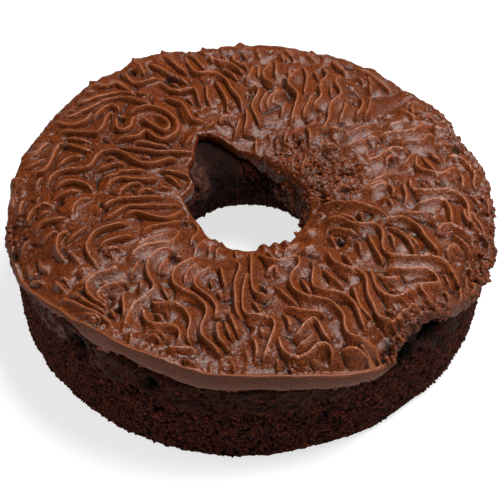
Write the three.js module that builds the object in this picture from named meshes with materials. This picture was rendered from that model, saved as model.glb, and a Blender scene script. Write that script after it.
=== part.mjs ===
import * as THREE from 'three';

// Chocolate ring cake: a baked sponge ring with a combed layer of chocolate
// frosting spread over its top. Millimetres, +Z up, origin on the flat foot
// under the middle of the hole. Angles run anticlockwise seen from above,
// 0 deg along +X; the side that faces the viewer is at 270 deg (-Y).

// ---- sponge ring -----------------------------------------------------------
const FOOT_R = 110.6;          // flat foot, outer radius
const FOOT_HOLE_R = 59.5;      // flat foot, radius where the hole's flare ends
const HEEL_H = 3.0;            // small rounded heel above the foot
const WALL_LOW_R = 112.0;      // outer wall just above the heel
const WALL_TOP_R = 115.0;      // the ring widens upwards, like its tin
const WALL_TOP_Z = 46.5;       // where the outer wall turns into the shoulder
const SHOULDER_R = 109.8;      // sloped shoulder under the frosting's rim
const SHOULDER_Z = 51.2;
const CROWN_Z = 55.8;          // top of the baked crown
const HOLE_LOW_R = 36.4;       // tapered wall of the hole, at its lower edge
const HOLE_LOW_Z = 20.0;       // below this edge the hole flares out to the foot
const HOLE_TOP_R = 30.6;
const HOLE_TOP_Z = 42.0;
const SPONGE_SIDES = 72;

// ---- frosting --------------------------------------------------------------
const FROST_TOP_Z = 62.0;      // mean height of the spread top
const CREST_R = 78.0;          // radius of the highest circle
const RIM_FALL = 5.5;          // how far the top falls to the outer rim
const RIM_SPAN = 38.0;
const HOLE_FALL = 9.5;         // how far it falls to the lip of the hole
const HOLE_SPAN = 48.0;
const SLAB_H = 8.3;            // height of the cut-looking face at the rim
const SLAB_PROUD = 1.2;        // how far that face stands out from the sponge
const EDGE_Z = 47.9;           // mean height of the frosting's lower edge
const LIP_R = 29.8;            // lip of the hole, mean radius
const GAP = 0.45;              // spacing between the frosting and the sponge

// ---- comb marks ------------------------------------------------------------
const STROKES = 14;            // strokes laid side by side round the ring
const TEETH = 4;               // ridges left by the comb in each stroke
const COLS = 3;                // facet columns per ridge: crest, valley, slope
const RIDGE_DEPTH = 1.25;      // crest above, and valley below, the mean
const SLOPE_SHARE = -0.3;      // height of the slope column, share of the depth
const FOLD_RISE = 1.0;         // each stroke starts on top of the one before
const FOLD_CUT = 1.1;          // crevice where one stroke laps over the next
const WAVE_SWING = 5.2;        // sideways swing of the S-shaped strokes
const WAVE_LENGTH = 46.0;      // length of one S along the radius
const SIDES = STROKES * TEETH * COLS;

// Local unevenness, each at an angle, with a half width in degrees.
const SHOULDER_LIFTS = [       // the sponge baked a little taller here (mm)
  { at: 232, half: 19, by: 3.4 }, { at: 12, half: 18, by: 1.4 },
  { at: 104, half: 22, by: 1.6 },
];
const EDGE_WAVES = [           // lower edge of the frosting: lifts and sags (mm)
  { at: 232, half: 17, by: 0.6 }, { at: 196, half: 11, by: -2.6 },
  { at: 262, half: 12, by: -0.8 }, { at: 297, half: 12, by: -10.0 },
  { at: 313, half: 8, by: 3.5 }, { at: 333, half: 10, by: -5.0 },
  { at: 52, half: 20, by: -1.6 }, { at: 150, half: 18, by: -1.4 },
];
const LIP_WAVES = [            // lip of the hole: pulled back or hanging over (mm)
  { at: 118, half: 15, by: 20.0 }, { at: 95, half: 10, by: 7.0 },
  { at: 168, half: 22, by: -1.6 }, { at: 232, half: 20, by: -1.6 },
  { at: 8, half: 24, by: 2.4 }, { at: 60, half: 14, by: 3.0 },
];
const SMOOTH_SPOTS = [         // spots spread flat by the knife
  { at: 42, half: 9, r: 98, dr: 15 }, { at: 162, half: 9, r: 87, dr: 11 },
  { at: 188, half: 9, r: 83, dr: 15 }, { at: 214, half: 5, r: 92, dr: 9 },
];
const PITS = [                 // small holes left in the frosting
  { at: 181, half: 3.2, r: 91, dr: 5 }, { at: 231, half: 3.2, r: 97, dr: 5 },
  { at: 141, half: 3.4, r: 92, dr: 6 }, { at: 324, half: 4.5, r: 56, dr: 6 },
  { at: 115, half: 3.2, r: 97, dr: 5 }, { at: 232, half: 5, r: 54, dr: 5 },
];
const PIT_DEPTH = 1.6;

const deg = Math.PI / 180;
const clamp01 = (x) => Math.min(1, Math.max(0, x));
const smooth = (x) => { const t = clamp01(x); return t * t * (3 - 2 * t); };

function bump(angle, at, half) {
  const d = ((angle / deg - at + 540) % 360 + 360) % 360 - 180;
  return Math.exp(-((d / half) ** 2));
}

function waves(list, angle) {
  return list.reduce((sum, w) => sum + w.by * bump(angle, w.at, w.half), 0);
}

function spots(list, angle, r) {
  return list.reduce((most, s) => Math.max(most,
    bump(angle, s.at, s.half) * Math.exp(-(((r - s.r) / s.dr) ** 2))), 0);
}

// A baked wall is never quite round.
function wallWobble(angle) {
  return 0.5 * Math.sin(3 * angle + 1.0) + 0.3 * Math.sin(5 * angle + 2.4)
    + 0.25 * Math.sin(9 * angle + 0.6);
}

const lift = (angle) => waves(SHOULDER_LIFTS, angle);
const cornerZ = (angle) => WALL_TOP_Z + lift(angle);

// Outer face of the sponge at height z, shoulder included.
function outerR(z, angle) {
  const corner = cornerZ(angle);
  if (z > corner) {
    const k = (z - corner) / (SHOULDER_Z - WALL_TOP_Z);
    return WALL_TOP_R + (SHOULDER_R - WALL_TOP_R) * k;
  }
  return WALL_TOP_R + (WALL_LOW_R - WALL_TOP_R) * (corner - z) / (corner - HEEL_H);
}

// Sponge section, anticlockwise from the foot at the hole, out and round.
const spongeSection = [
  [FOOT_HOLE_R, 0], [FOOT_R, 0], [WALL_LOW_R, HEEL_H],
  [113.4, 24], [WALL_TOP_R, WALL_TOP_Z],
  [SHOULDER_R, SHOULDER_Z], [88, CROWN_Z - 0.2], [66, CROWN_Z],
  [50, CROWN_Z - 1.4], [40, CROWN_Z - 4.0], [HOLE_TOP_R + 2.8, CROWN_Z - 8.4],
  [HOLE_TOP_R, HOLE_TOP_Z], [HOLE_LOW_R, HOLE_LOW_Z],
];
const spongeTop = spongeSection.slice(5, 12).reverse();   // hole to shoulder

const liftShare = (r) => clamp01((r - 88) / (SHOULDER_R - 88));

function spongeTopZ(r, angle) {
  const raised = lift(angle) * liftShare(r);
  for (let i = 1; i < spongeTop.length; i++) {
    const [r0, z0] = spongeTop[i - 1], [r1, z1] = spongeTop[i];
    if (r <= r1) return raised + z0 + (z1 - z0) * Math.max(0, (r - r0) / (r1 - r0));
  }
  return raised + SHOULDER_Z;
}

// Smooth top of the frosting before combing.
function frostTopZ(r) {
  return r > CREST_R
    ? FROST_TOP_Z - RIM_FALL * ((r - CREST_R) / RIM_SPAN) ** 2.6
    : FROST_TOP_Z - HOLE_FALL * (Math.min(1, (CREST_R - r) / HOLE_SPAN)) ** 3;
}

const edgeZ = (angle) => EDGE_Z + lift(angle) + waves(EDGE_WAVES, angle);
const lipR = (angle) => LIP_R + waves(LIP_WAVES, angle);

// True where the frosting's lower edge runs across the corner of the shoulder
// within one facet, so that the facet has to pass outside that corner.
function crossesCorner(angle) {
  const step = 2 * Math.PI / SIDES;
  const near = [-1.5, -1, 0, 1, 1.5].map((k) => edgeZ(angle + k * step));
  return Math.min(...near) < cornerZ(angle) && Math.max(...near) > cornerZ(angle);
}

// The comb swings from side to side on its way in to the hole.
function strokeSwing(r, angle) {
  const swing = WAVE_SWING * smooth((r - 34) / 30) / r;
  const phase = 0.8 * Math.sin(5 * angle + 0.7) + 0.7 * Math.sin(3 * angle + 2.2);
  return swing * Math.sin(2 * Math.PI * (r - 30) / WAVE_LENGTH + phase);
}

// Height of the comb marks on one facet column.
function combHeight(column, r, angle, lip) {
  const tooth = column % COLS;
  const inStroke = column % (TEETH * COLS);
  const last = TEETH * COLS - 1;
  const shape = tooth === 0 ? 1 : tooth === 1 ? -1 : SLOPE_SHARE;
  const lively = 1 + 0.3 * Math.sin(4 * angle + r / 17) + 0.15 * Math.sin(11 * angle);
  const fold = FOLD_RISE * (0.6 - 1.2 * inStroke / last) - (inStroke === last ? FOLD_CUT : 0);
  const flat = 1 - 0.75 * spots(SMOOTH_SPOTS, angle, r);
  const ends = smooth((r - lip) / 14) * (1 - 0.45 * smooth((r - 104) / 10));
  return (RIDGE_DEPTH * shape * lively + fold) * flat * ends
    - PIT_DEPTH * spots(PITS, angle, r);
}

// Radii of the combed rows, rim to hole.
const TOP_ROWS = [110, 103, 95, 87, 78.5, 70, 61.5, 53, 45, 37.5];
const UNDER_ROWS = spongeTop.slice(1).map(([r]) => r);     // 33.4 .. shoulder

// One point [r, z, turn] of the frosting's section on a given facet column.
function frostPoint(row, column, angle) {
  const lip = lipR(angle), low = edgeZ(angle), wob = wallWobble(angle);
  const nUnder = UNDER_ROWS.length;
  if (row === 0) return [lip + 0.9, spongeTopZ(lip + 0.9, angle) + GAP, 0];
  if (row <= nUnder) {
    const r = Math.max(UNDER_ROWS[row - 1], lip + 0.9 + 0.7 * row);
    const out = row === nUnder ? wob : 0;
    return [r + out + (row === nUnder ? GAP * 0.5 : 0), spongeTopZ(r, angle) + GAP, 0];
  }
  const k = row - nUnder - 1;
  const sag = low - EDGE_Z - lift(angle) * 0.7;
  const belly = SLAB_PROUD + 0.16 * Math.max(0, -sag);
  const corner = cornerZ(angle), top = SHOULDER_Z + lift(angle);
  if (k === 0) {
    const z = low < corner ? corner : Math.min(low + 1.4, top - 0.6);
    return [(crossesCorner(angle) ? WALL_TOP_R : outerR(z, angle)) + GAP + wob, z + GAP * 0.4, 0];
  }
  if (k === 1) {
    const z = Math.min(low, top - 1.2);
    return [(crossesCorner(angle) ? WALL_TOP_R : outerR(z, angle)) + GAP + wob, z, 0];
  }
  const wallHere = WALL_TOP_R + wob;
  const scallop = 0.35 * (column % COLS === 0 ? 1 : column % COLS === 1 ? -1 : 0);
  if (k === 2) return [wallHere + belly - 0.2, low - 0.5, 0];
  if (k === 3) return [wallHere + belly + 0.5 + scallop, low + SLAB_H * 0.5, 0];
  if (k === 4) return [wallHere + belly - 1.3 + scallop * 2, low + SLAB_H, 0];
  const t = k - 5;
  const rimSag = (r) => sag * smooth((r - 92) / 24);
  if (t < TOP_ROWS.length) {
    const r = Math.max(TOP_ROWS[t], lip + 2.2 + 1.2 * (TOP_ROWS.length - t));
    const z = frostTopZ(r) + rimSag(r) + combHeight(column, r, angle, lip);
    return [r, Math.max(z, spongeTopZ(r, angle) + 2.0), strokeSwing(r, angle)];
  }
  if (t === TOP_ROWS.length) {
    const r = lip + 1.4;
    return [r, Math.max(frostTopZ(r) - 0.4, spongeTopZ(r, angle) + 2.2), 0];
  }
  const under = spongeTopZ(lip + 0.9, angle);
  return [lip - 0.9, under + GAP + Math.max(1.4, (frostTopZ(lip) - under) * 0.5), 0];
}
const FROST_ROWS = 1 + UNDER_ROWS.length + 5 + TOP_ROWS.length + 2;

// Turn a closed section into a ring, then move every vertex by place(row, column).
function ring(rows, sides, place) {
  const outline = [];
  for (let i = 0; i <= rows; i++) {
    const a = -2 * Math.PI * (i % rows) / rows;
    outline.push(new THREE.Vector2(70 + 10 * Math.cos(a), 10 * Math.sin(a)));
  }
  const geometry = new THREE.LatheGeometry(outline, sides);
  const position = geometry.attributes.position;
  for (let column = 0; column <= sides; column++) {
    for (let row = 0; row <= rows; row++) {
      const c = column % sides;
      const angle = 2 * Math.PI * c / sides;
      const [r, z, turn] = place(row % rows, c, angle);
      position.setXYZ(column * (rows + 1) + row,
        r * Math.cos(angle + turn), r * Math.sin(angle + turn), z);
    }
  }
  // Faces point out when the enclosed volume is positive.
  const index = geometry.index.array;
  const a = new THREE.Vector3(), b = new THREE.Vector3(), c = new THREE.Vector3();
  let volume = 0;
  for (let i = 0; i < index.length; i += 3) {
    a.fromBufferAttribute(position, index[i]);
    b.fromBufferAttribute(position, index[i + 1]);
    c.fromBufferAttribute(position, index[i + 2]);
    volume += a.dot(b.cross(c)) / 6;
  }
  if (volume < 0) {
    for (let i = 0; i < index.length; i += 3) {
      const keep = index[i];
      index[i] = index[i + 1];
      index[i + 1] = keep;
    }
  }
  geometry.computeVertexNormals();
  return geometry;
}

const spongeGeometry = ring(spongeSection.length, SPONGE_SIDES, (row, column, angle) => {
  const [r, z] = spongeSection[row];
  const out = r > 105 ? wallWobble(angle) * (z > 0 ? 1 : 0.6) : 0;
  const inner = r < 36 && z < 40 ? 0.4 * Math.sin(4 * angle + 0.5) : 0;
  const up = z > 40 ? lift(angle) * liftShare(r) : 0;
  return [r + out + inner, z + up, 0];
});

const frostGeometry = ring(FROST_ROWS, SIDES, (row, column, angle) => frostPoint(row, column, angle));

const sponge = new THREE.Mesh(spongeGeometry, new THREE.MeshStandardMaterial({
  color: '#3a211b', roughness: 0.9, metalness: 0,
}));
sponge.name = 'sponge';

const frosting = new THREE.Mesh(frostGeometry, new THREE.MeshStandardMaterial({
  color: '#6f3b24', roughness: 0.5, metalness: 0,
}));
frosting.name = 'frosting';

// Stand the cake so that the middle of its outline is over the origin.
const box = new THREE.Box3();
for (const mesh of [sponge, frosting]) {
  mesh.geometry.computeBoundingBox();
  box.union(mesh.geometry.boundingBox);
}
const middle = box.getCenter(new THREE.Vector3());
for (const mesh of [sponge, frosting]) mesh.geometry.translate(-middle.x, -middle.y, 0);

const cake = new THREE.Group();
cake.add(sponge, frosting);

export default cake;
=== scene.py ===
import bpy
import math
import numpy as np
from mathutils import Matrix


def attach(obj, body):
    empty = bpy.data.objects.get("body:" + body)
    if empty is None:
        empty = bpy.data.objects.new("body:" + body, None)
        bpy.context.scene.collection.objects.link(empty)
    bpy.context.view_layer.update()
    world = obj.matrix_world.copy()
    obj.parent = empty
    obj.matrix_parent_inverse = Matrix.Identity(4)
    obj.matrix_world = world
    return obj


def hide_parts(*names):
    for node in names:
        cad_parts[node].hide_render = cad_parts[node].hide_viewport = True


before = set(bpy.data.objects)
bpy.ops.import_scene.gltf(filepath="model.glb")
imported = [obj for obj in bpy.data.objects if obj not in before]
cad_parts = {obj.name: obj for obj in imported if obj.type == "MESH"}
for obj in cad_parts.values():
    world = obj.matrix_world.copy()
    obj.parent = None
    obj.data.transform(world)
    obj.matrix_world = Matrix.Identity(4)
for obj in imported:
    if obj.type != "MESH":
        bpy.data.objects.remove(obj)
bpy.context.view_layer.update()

# Chocolate ring cake. Everything below is worked out in millimetres about the
# middle of the hole and turned into metres in the row frame at the end.
# Angles run anticlockwise seen from above, 0 deg along +X; the side that
# faces the viewer is at 270 deg.
MM = 0.001
SHIFT = np.array([-0.733, 0.329, 0.0])      # middle of the hole to the row origin
TAU = 2 * math.pi


# ---------------------------------------------------------------- small tools
def clamp01(x):
    return np.clip(x, 0.0, 1.0)


def smooth(x):
    t = clamp01(x)
    return t * t * (3 - 2 * t)


def ang(angle_deg, at):
    return (np.asarray(angle_deg) - at + 180.0) % 360.0 - 180.0


def bump(angle_deg, at, half):
    return np.exp(-(ang(angle_deg, at) / half) ** 2)


def waves(table, angle_deg):
    total = np.zeros_like(np.asarray(angle_deg, dtype=float))
    for at, half, by in table:
        total = total + by * bump(angle_deg, at, half)
    return total


def spots(table, angle_deg, r):
    most = np.zeros(np.broadcast(angle_deg, r).shape)
    for at, half, rad, dr in table:
        most = np.maximum(most, bump(angle_deg, at, half) * np.exp(-((r - rad) / dr) ** 2))
    return most


class Lattice:
    """Gradient noise and cell noise on a hashed lattice, same on every run."""

    def __init__(self, seed):
        g = np.random.RandomState(seed)
        self.perm = np.concatenate([g.permutation(256)] * 3)
        v = g.normal(size=(256, 3))
        self.grad = v / np.linalg.norm(v, axis=1)[:, None]
        self.jit = g.rand(256, 3)
        self.val = g.rand(256)

    def _hash(self, i, j, k):
        p = self.perm
        return p[(p[(p[i & 255] + (j & 255)) & 255] + (k & 255)) & 255]

    def noise(self, P):
        P = np.asarray(P, dtype=float)
        base = np.floor(P).astype(int)
        f = P - base
        w = f * f * f * (f * (f * 6 - 15) + 10)
        out = np.zeros(len(P))
        for di in (0, 1):
            for dj in (0, 1):
                for dk in (0, 1):
                    h = self._hash(base[:, 0] + di, base[:, 1] + dj, base[:, 2] + dk)
                    d = f - np.array([di, dj, dk])
                    dot = np.einsum("ij,ij->i", self.grad[h], d)
                    wx = w[:, 0] if di else 1 - w[:, 0]
                    wy = w[:, 1] if dj else 1 - w[:, 1]
                    wz = w[:, 2] if dk else 1 - w[:, 2]
                    out += wx * wy * wz * dot
        return out * 1.6

    def fbm(self, P, octaves=3, gain=0.5):
        total, amp, size = 0.0, 1.0, 1.0
        for k in range(octaves):
            total = total + amp * self.noise(P * size + 17.3 * k)
            amp *= gain
            size *= 2.03
        return total

    def cells(self, P):
        """Distance to the nearest and second nearest cell point, and the nearest cell's own value."""
        P = np.asarray(P, dtype=float)
        base = np.floor(P).astype(int)
        f = P - base
        d1 = np.full(len(P), 9.0)
        d2 = np.full(len(P), 9.0)
        own = np.zeros(len(P))
        for di in (-1, 0, 1):
            for dj in (-1, 0, 1):
                for dk in (-1, 0, 1):
                    h = self._hash(base[:, 0] + di, base[:, 1] + dj, base[:, 2] + dk)
                    q = np.array([di, dj, dk]) + self.jit[h] - f
                    d = np.sqrt(np.einsum("ij,ij->i", q, q))
                    near = d < d1
                    d2 = np.where(near, d1, np.minimum(d2, d))
                    own = np.where(near, self.val[h], own)
                    d1 = np.where(near, d, d1)
        return d1, d2, own


N1, N2, N3, N4 = Lattice(11), Lattice(23), Lattice(37), Lattice(53)


def mesh_object(name, verts_mm, faces, smooth_faces=True, attributes=None):
    mesh = bpy.data.meshes.new(name)
    verts = (np.asarray(verts_mm) + SHIFT) * MM
    faces = np.asarray(faces, dtype=np.int32)
    mesh.vertices.add(len(verts))
    mesh.vertices.foreach_set("co", verts.astype(np.float32).ravel())
    mesh.loops.add(faces.size)
    mesh.loops.foreach_set("vertex_index", faces.ravel())
    mesh.polygons.add(len(faces))
    n = faces.shape[1]
    mesh.polygons.foreach_set("loop_start", np.arange(0, faces.size, n, dtype=np.int32))
    mesh.polygons.foreach_set("loop_total", np.full(len(faces), n, dtype=np.int32))
    mesh.update(calc_edges=True)
    mesh.validate()
    mesh.polygons.foreach_set("use_smooth", np.full(len(mesh.polygons), smooth_faces, dtype=bool))
    for key, values in (attributes or {}).items():
        layer = mesh.attributes.new(key, "FLOAT", "POINT")
        layer.data.foreach_set("value", np.asarray(values, dtype=np.float32))
    obj = bpy.data.objects.new(name, mesh)
    bpy.context.scene.collection.objects.link(obj)
    return obj


def ring_faces(columns, rows):
    """Quads of a closed ring: columns round the cake, rows round the section."""
    c = np.arange(columns)[:, None]
    r = np.arange(rows)[None, :]
    c1, r1 = (c + 1) % columns, (r + 1) % rows
    quad = np.stack([c * rows + r, c1 * rows + r, c1 * rows + r1, c * rows + r1], axis=-1)
    return quad.reshape(-1, 4)


def volume_sign(verts, quads):
    a, b, c, d = (verts[quads[:, k]] for k in range(4))
    v = np.einsum("ij,ij->i", a, np.cross(b, c)) + np.einsum("ij,ij->i", a, np.cross(c, d))
    return np.sign(v.sum())


def thin_out(obj, triangles):
    """Collapse edges where the surface is flat, keeping the fine crests."""
    mesh = obj.data
    have = 2 * len(mesh.polygons)
    if have > triangles:
        mod = obj.modifiers.new("thin", "DECIMATE")
        mod.ratio = triangles / have
        dep = bpy.context.evaluated_depsgraph_get()
        fresh = bpy.data.meshes.new_from_object(obj.evaluated_get(dep), depsgraph=dep)
        obj.modifiers.clear()
        obj.data = fresh
        fresh.name = mesh.name
        bpy.data.meshes.remove(mesh)
        fresh.polygons.foreach_set("use_smooth", np.ones(len(fresh.polygons), dtype=bool))
    return obj


# ------------------------------------------------------------- overall sizes
FOOT_R, FOOT_HOLE_R, HEEL_H = 110.6, 59.5, 3.0
WALL_LOW_R, WALL_TOP_R, WALL_TOP_Z = 112.0, 115.0, 46.5
SHOULDER_R, SHOULDER_Z, CROWN_Z = 109.8, 51.2, 55.8
HOLE_LOW_R, HOLE_LOW_Z, HOLE_TOP_R, HOLE_TOP_Z = 36.4, 20.0, 30.6, 42.0
FROST_TOP_Z, CREST_R = 62.0, 78.0
RIM_FALL, RIM_SPAN, HOLE_FALL, HOLE_SPAN = 5.5, 38.0, 9.5, 48.0
SLAB_H, EDGE_Z, LIP_R = 8.3, 47.9, 29.8

# local unevenness: (angle, half width in degrees, millimetres)
SHOULDER_LIFTS = [(232, 19, 3.4), (12, 18, 1.4), (104, 22, 1.6)]
EDGE_WAVES = [(232, 17, 0.6), (196, 11, -2.6), (262, 12, -0.8), (297, 12, -10.0),
              (313, 8, 3.5), (333, 10, -5.0), (52, 20, -1.6), (150, 18, -1.4)]
LIP_WAVES = [(118, 15, 20.0), (95, 10, 7.0), (168, 22, -1.6), (232, 20, -1.6),
             (8, 24, 2.4), (60, 14, 3.0)]


def lift(a):
    return waves(SHOULDER_LIFTS, a)


def wall_wobble(a):
    t = np.radians(a)
    return 0.5 * np.sin(3 * t + 1.0) + 0.3 * np.sin(5 * t + 2.4) + 0.25 * np.sin(9 * t + 0.6)


SPONGE_TOP = np.array([[HOLE_TOP_R, HOLE_TOP_Z], [HOLE_TOP_R + 2.8, CROWN_Z - 8.4], [40, CROWN_Z - 4.0],
                       [50, CROWN_Z - 1.4], [66, CROWN_Z], [88, CROWN_Z - 0.2], [SHOULDER_R, SHOULDER_Z]])


def sponge_top_z(r, a):
    return np.interp(r, SPONGE_TOP[:, 0], SPONGE_TOP[:, 1]) + lift(a) * clamp01((r - 88) / (SHOULDER_R - 88))


def edge_lift(r, a):
    """At the front left the baked edge stands higher, right up under the thin frosting."""
    return 5.0 * bump(a, 223, 9) * clamp01((r - 100) / 9.8)


def hole_r(z):
    """Wall of the hole: it widens downwards, then flares out to the foot."""
    wall = HOLE_TOP_R + (HOLE_LOW_R - HOLE_TOP_R) * clamp01((HOLE_TOP_Z - z) / (HOLE_TOP_Z - HOLE_LOW_Z))
    return wall + (FOOT_HOLE_R - HOLE_LOW_R) * clamp01((HOLE_LOW_Z - z) / HOLE_LOW_Z)


# lip of the frosting round the hole: (angle, radius)
LIP_LINE = [(0, 30.5), (14, 30.2), (29, 30.0), (45, 31.0), (57, 32.4), (66, 33.2), (75, 34.6), (82, 33.4), (90, 35.6),
            (99, 37.8), (104, 41.5), (109, 46.0), (114, 50.0), (119.5, 51.6), (123, 48.6), (127, 44.7),
            (132, 40.8), (139, 39.4), (146.5, 35.0), (151.5, 31.2), (157, 30.4), (163, 31.4), (171, 32.6), (178, 30.0),
            (185, 28.4), (196, 26.9), (211, 26.2), (227, 27.8), (234, 27.4), (238.5, 29.4), (244, 28.8),
            (249, 29.3), (258, 29.4), (267, 30.4), (276, 29.8), (279.5, 26.0), (285, 25.4), (290.5, 28.8),
            (297.5, 26.2), (301.5, 30.0), (305, 32.2), (311, 30.7), (326, 28.3), (338, 28.9), (350, 30.0), (360, 30.5)]
# how far the rim at the sides and back, and the foot at the front, stand out: (angle, millimetres)
RIM_STEPS = [(-40, 0.8), (-25, 0.6), (-15, 1.3), (-5, -0.5), (10, -0.9), (15, -1.7), (18, -2.6), (21, -3.9), (25, -3.2),
             (29, -0.9), (35, -0.6), (40, -1.9), (45, -2.9), (50, -1.9), (55, -1.7), (60, 0.3), (65, 0.8), (70, -0.6),
             (80, 0.2), (85, 0.6), (90, -0.8), (95, -1.7), (100, -3.1), (105, -3.2), (110, -0.4), (115, 0.8), (120, 2.8),
             (124, -0.6), (135, 0.1), (145, -0.9), (155, -2.0), (161, -1.6), (170, -0.6), (180, -0.9), (190, 0.3), (200, 0.0)]
FOOT_STEPS = [(185, 0.0), (195, 1.0), (220, 0.9), (228, 1.9), (258, 1.9), (266, 2.1), (275, 0.8), (285, 0.7), (291, 1.9),
              (300, 3.0), (308, 2.1), (316, 0.9), (330, 0.2), (342, 0.9), (352, 1.4), (360, 0.0)]
# face of the slab at the front: (angle, height) of its upper and lower edge
FACE_TOP = [(190, 54.0), (197, 50.5), (203, 48.5), (209, 52.2), (215, 57.0), (221, 59.8), (226, 60.6), (230, 62.6),
            (235, 63.4), (240, 62.4), (246, 62.7), (251, 61.7), (257, 58.9), (262, 57.7), (268, 58.1),
            (278, 57.0), (283, 55.2), (288, 53.0), (292, 50.8), (296, 49.0), (300, 46.3), (304, 44.0)]
FACE_LOW = [(190, 45.0), (200, 43.5), (206, 48.0), (212, 53.5), (215.3, 54.1), (219.5, 55.3), (223, 57.5), (226, 59.2),
            (228, 56.9), (229.2, 54.6), (231.8, 53.0), (234.7, 52.1), (236.6, 51.6), (237.3, 54.5),
            (241.7, 56.0), (245, 53.4), (248, 52.7), (251.3, 51.6), (254.6, 49.4), (258.7, 47.8),
            (265.2, 47.6), (272, 49.2), (281.4, 46.6), (287.4, 44.4), (290.5, 43.8), (295.6, 42.7),
            (299.6, 40.2), (302.8, 41.8)]


def frost_top_z(r):
    out = FROST_TOP_Z - RIM_FALL * (np.maximum(r - CREST_R, 0) / RIM_SPAN) ** 2.6
    return out - HOLE_FALL * np.minimum(1, np.maximum(CREST_R - r, 0) / HOLE_SPAN) ** 3

# light strengths
LIGHT_TOP, LIGHT_RIGHT, LIGHT_LEFT, WORLD = 22.6, 0.9, 4.6, 0.05
FLOOR_GLOW = 0.72


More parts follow.
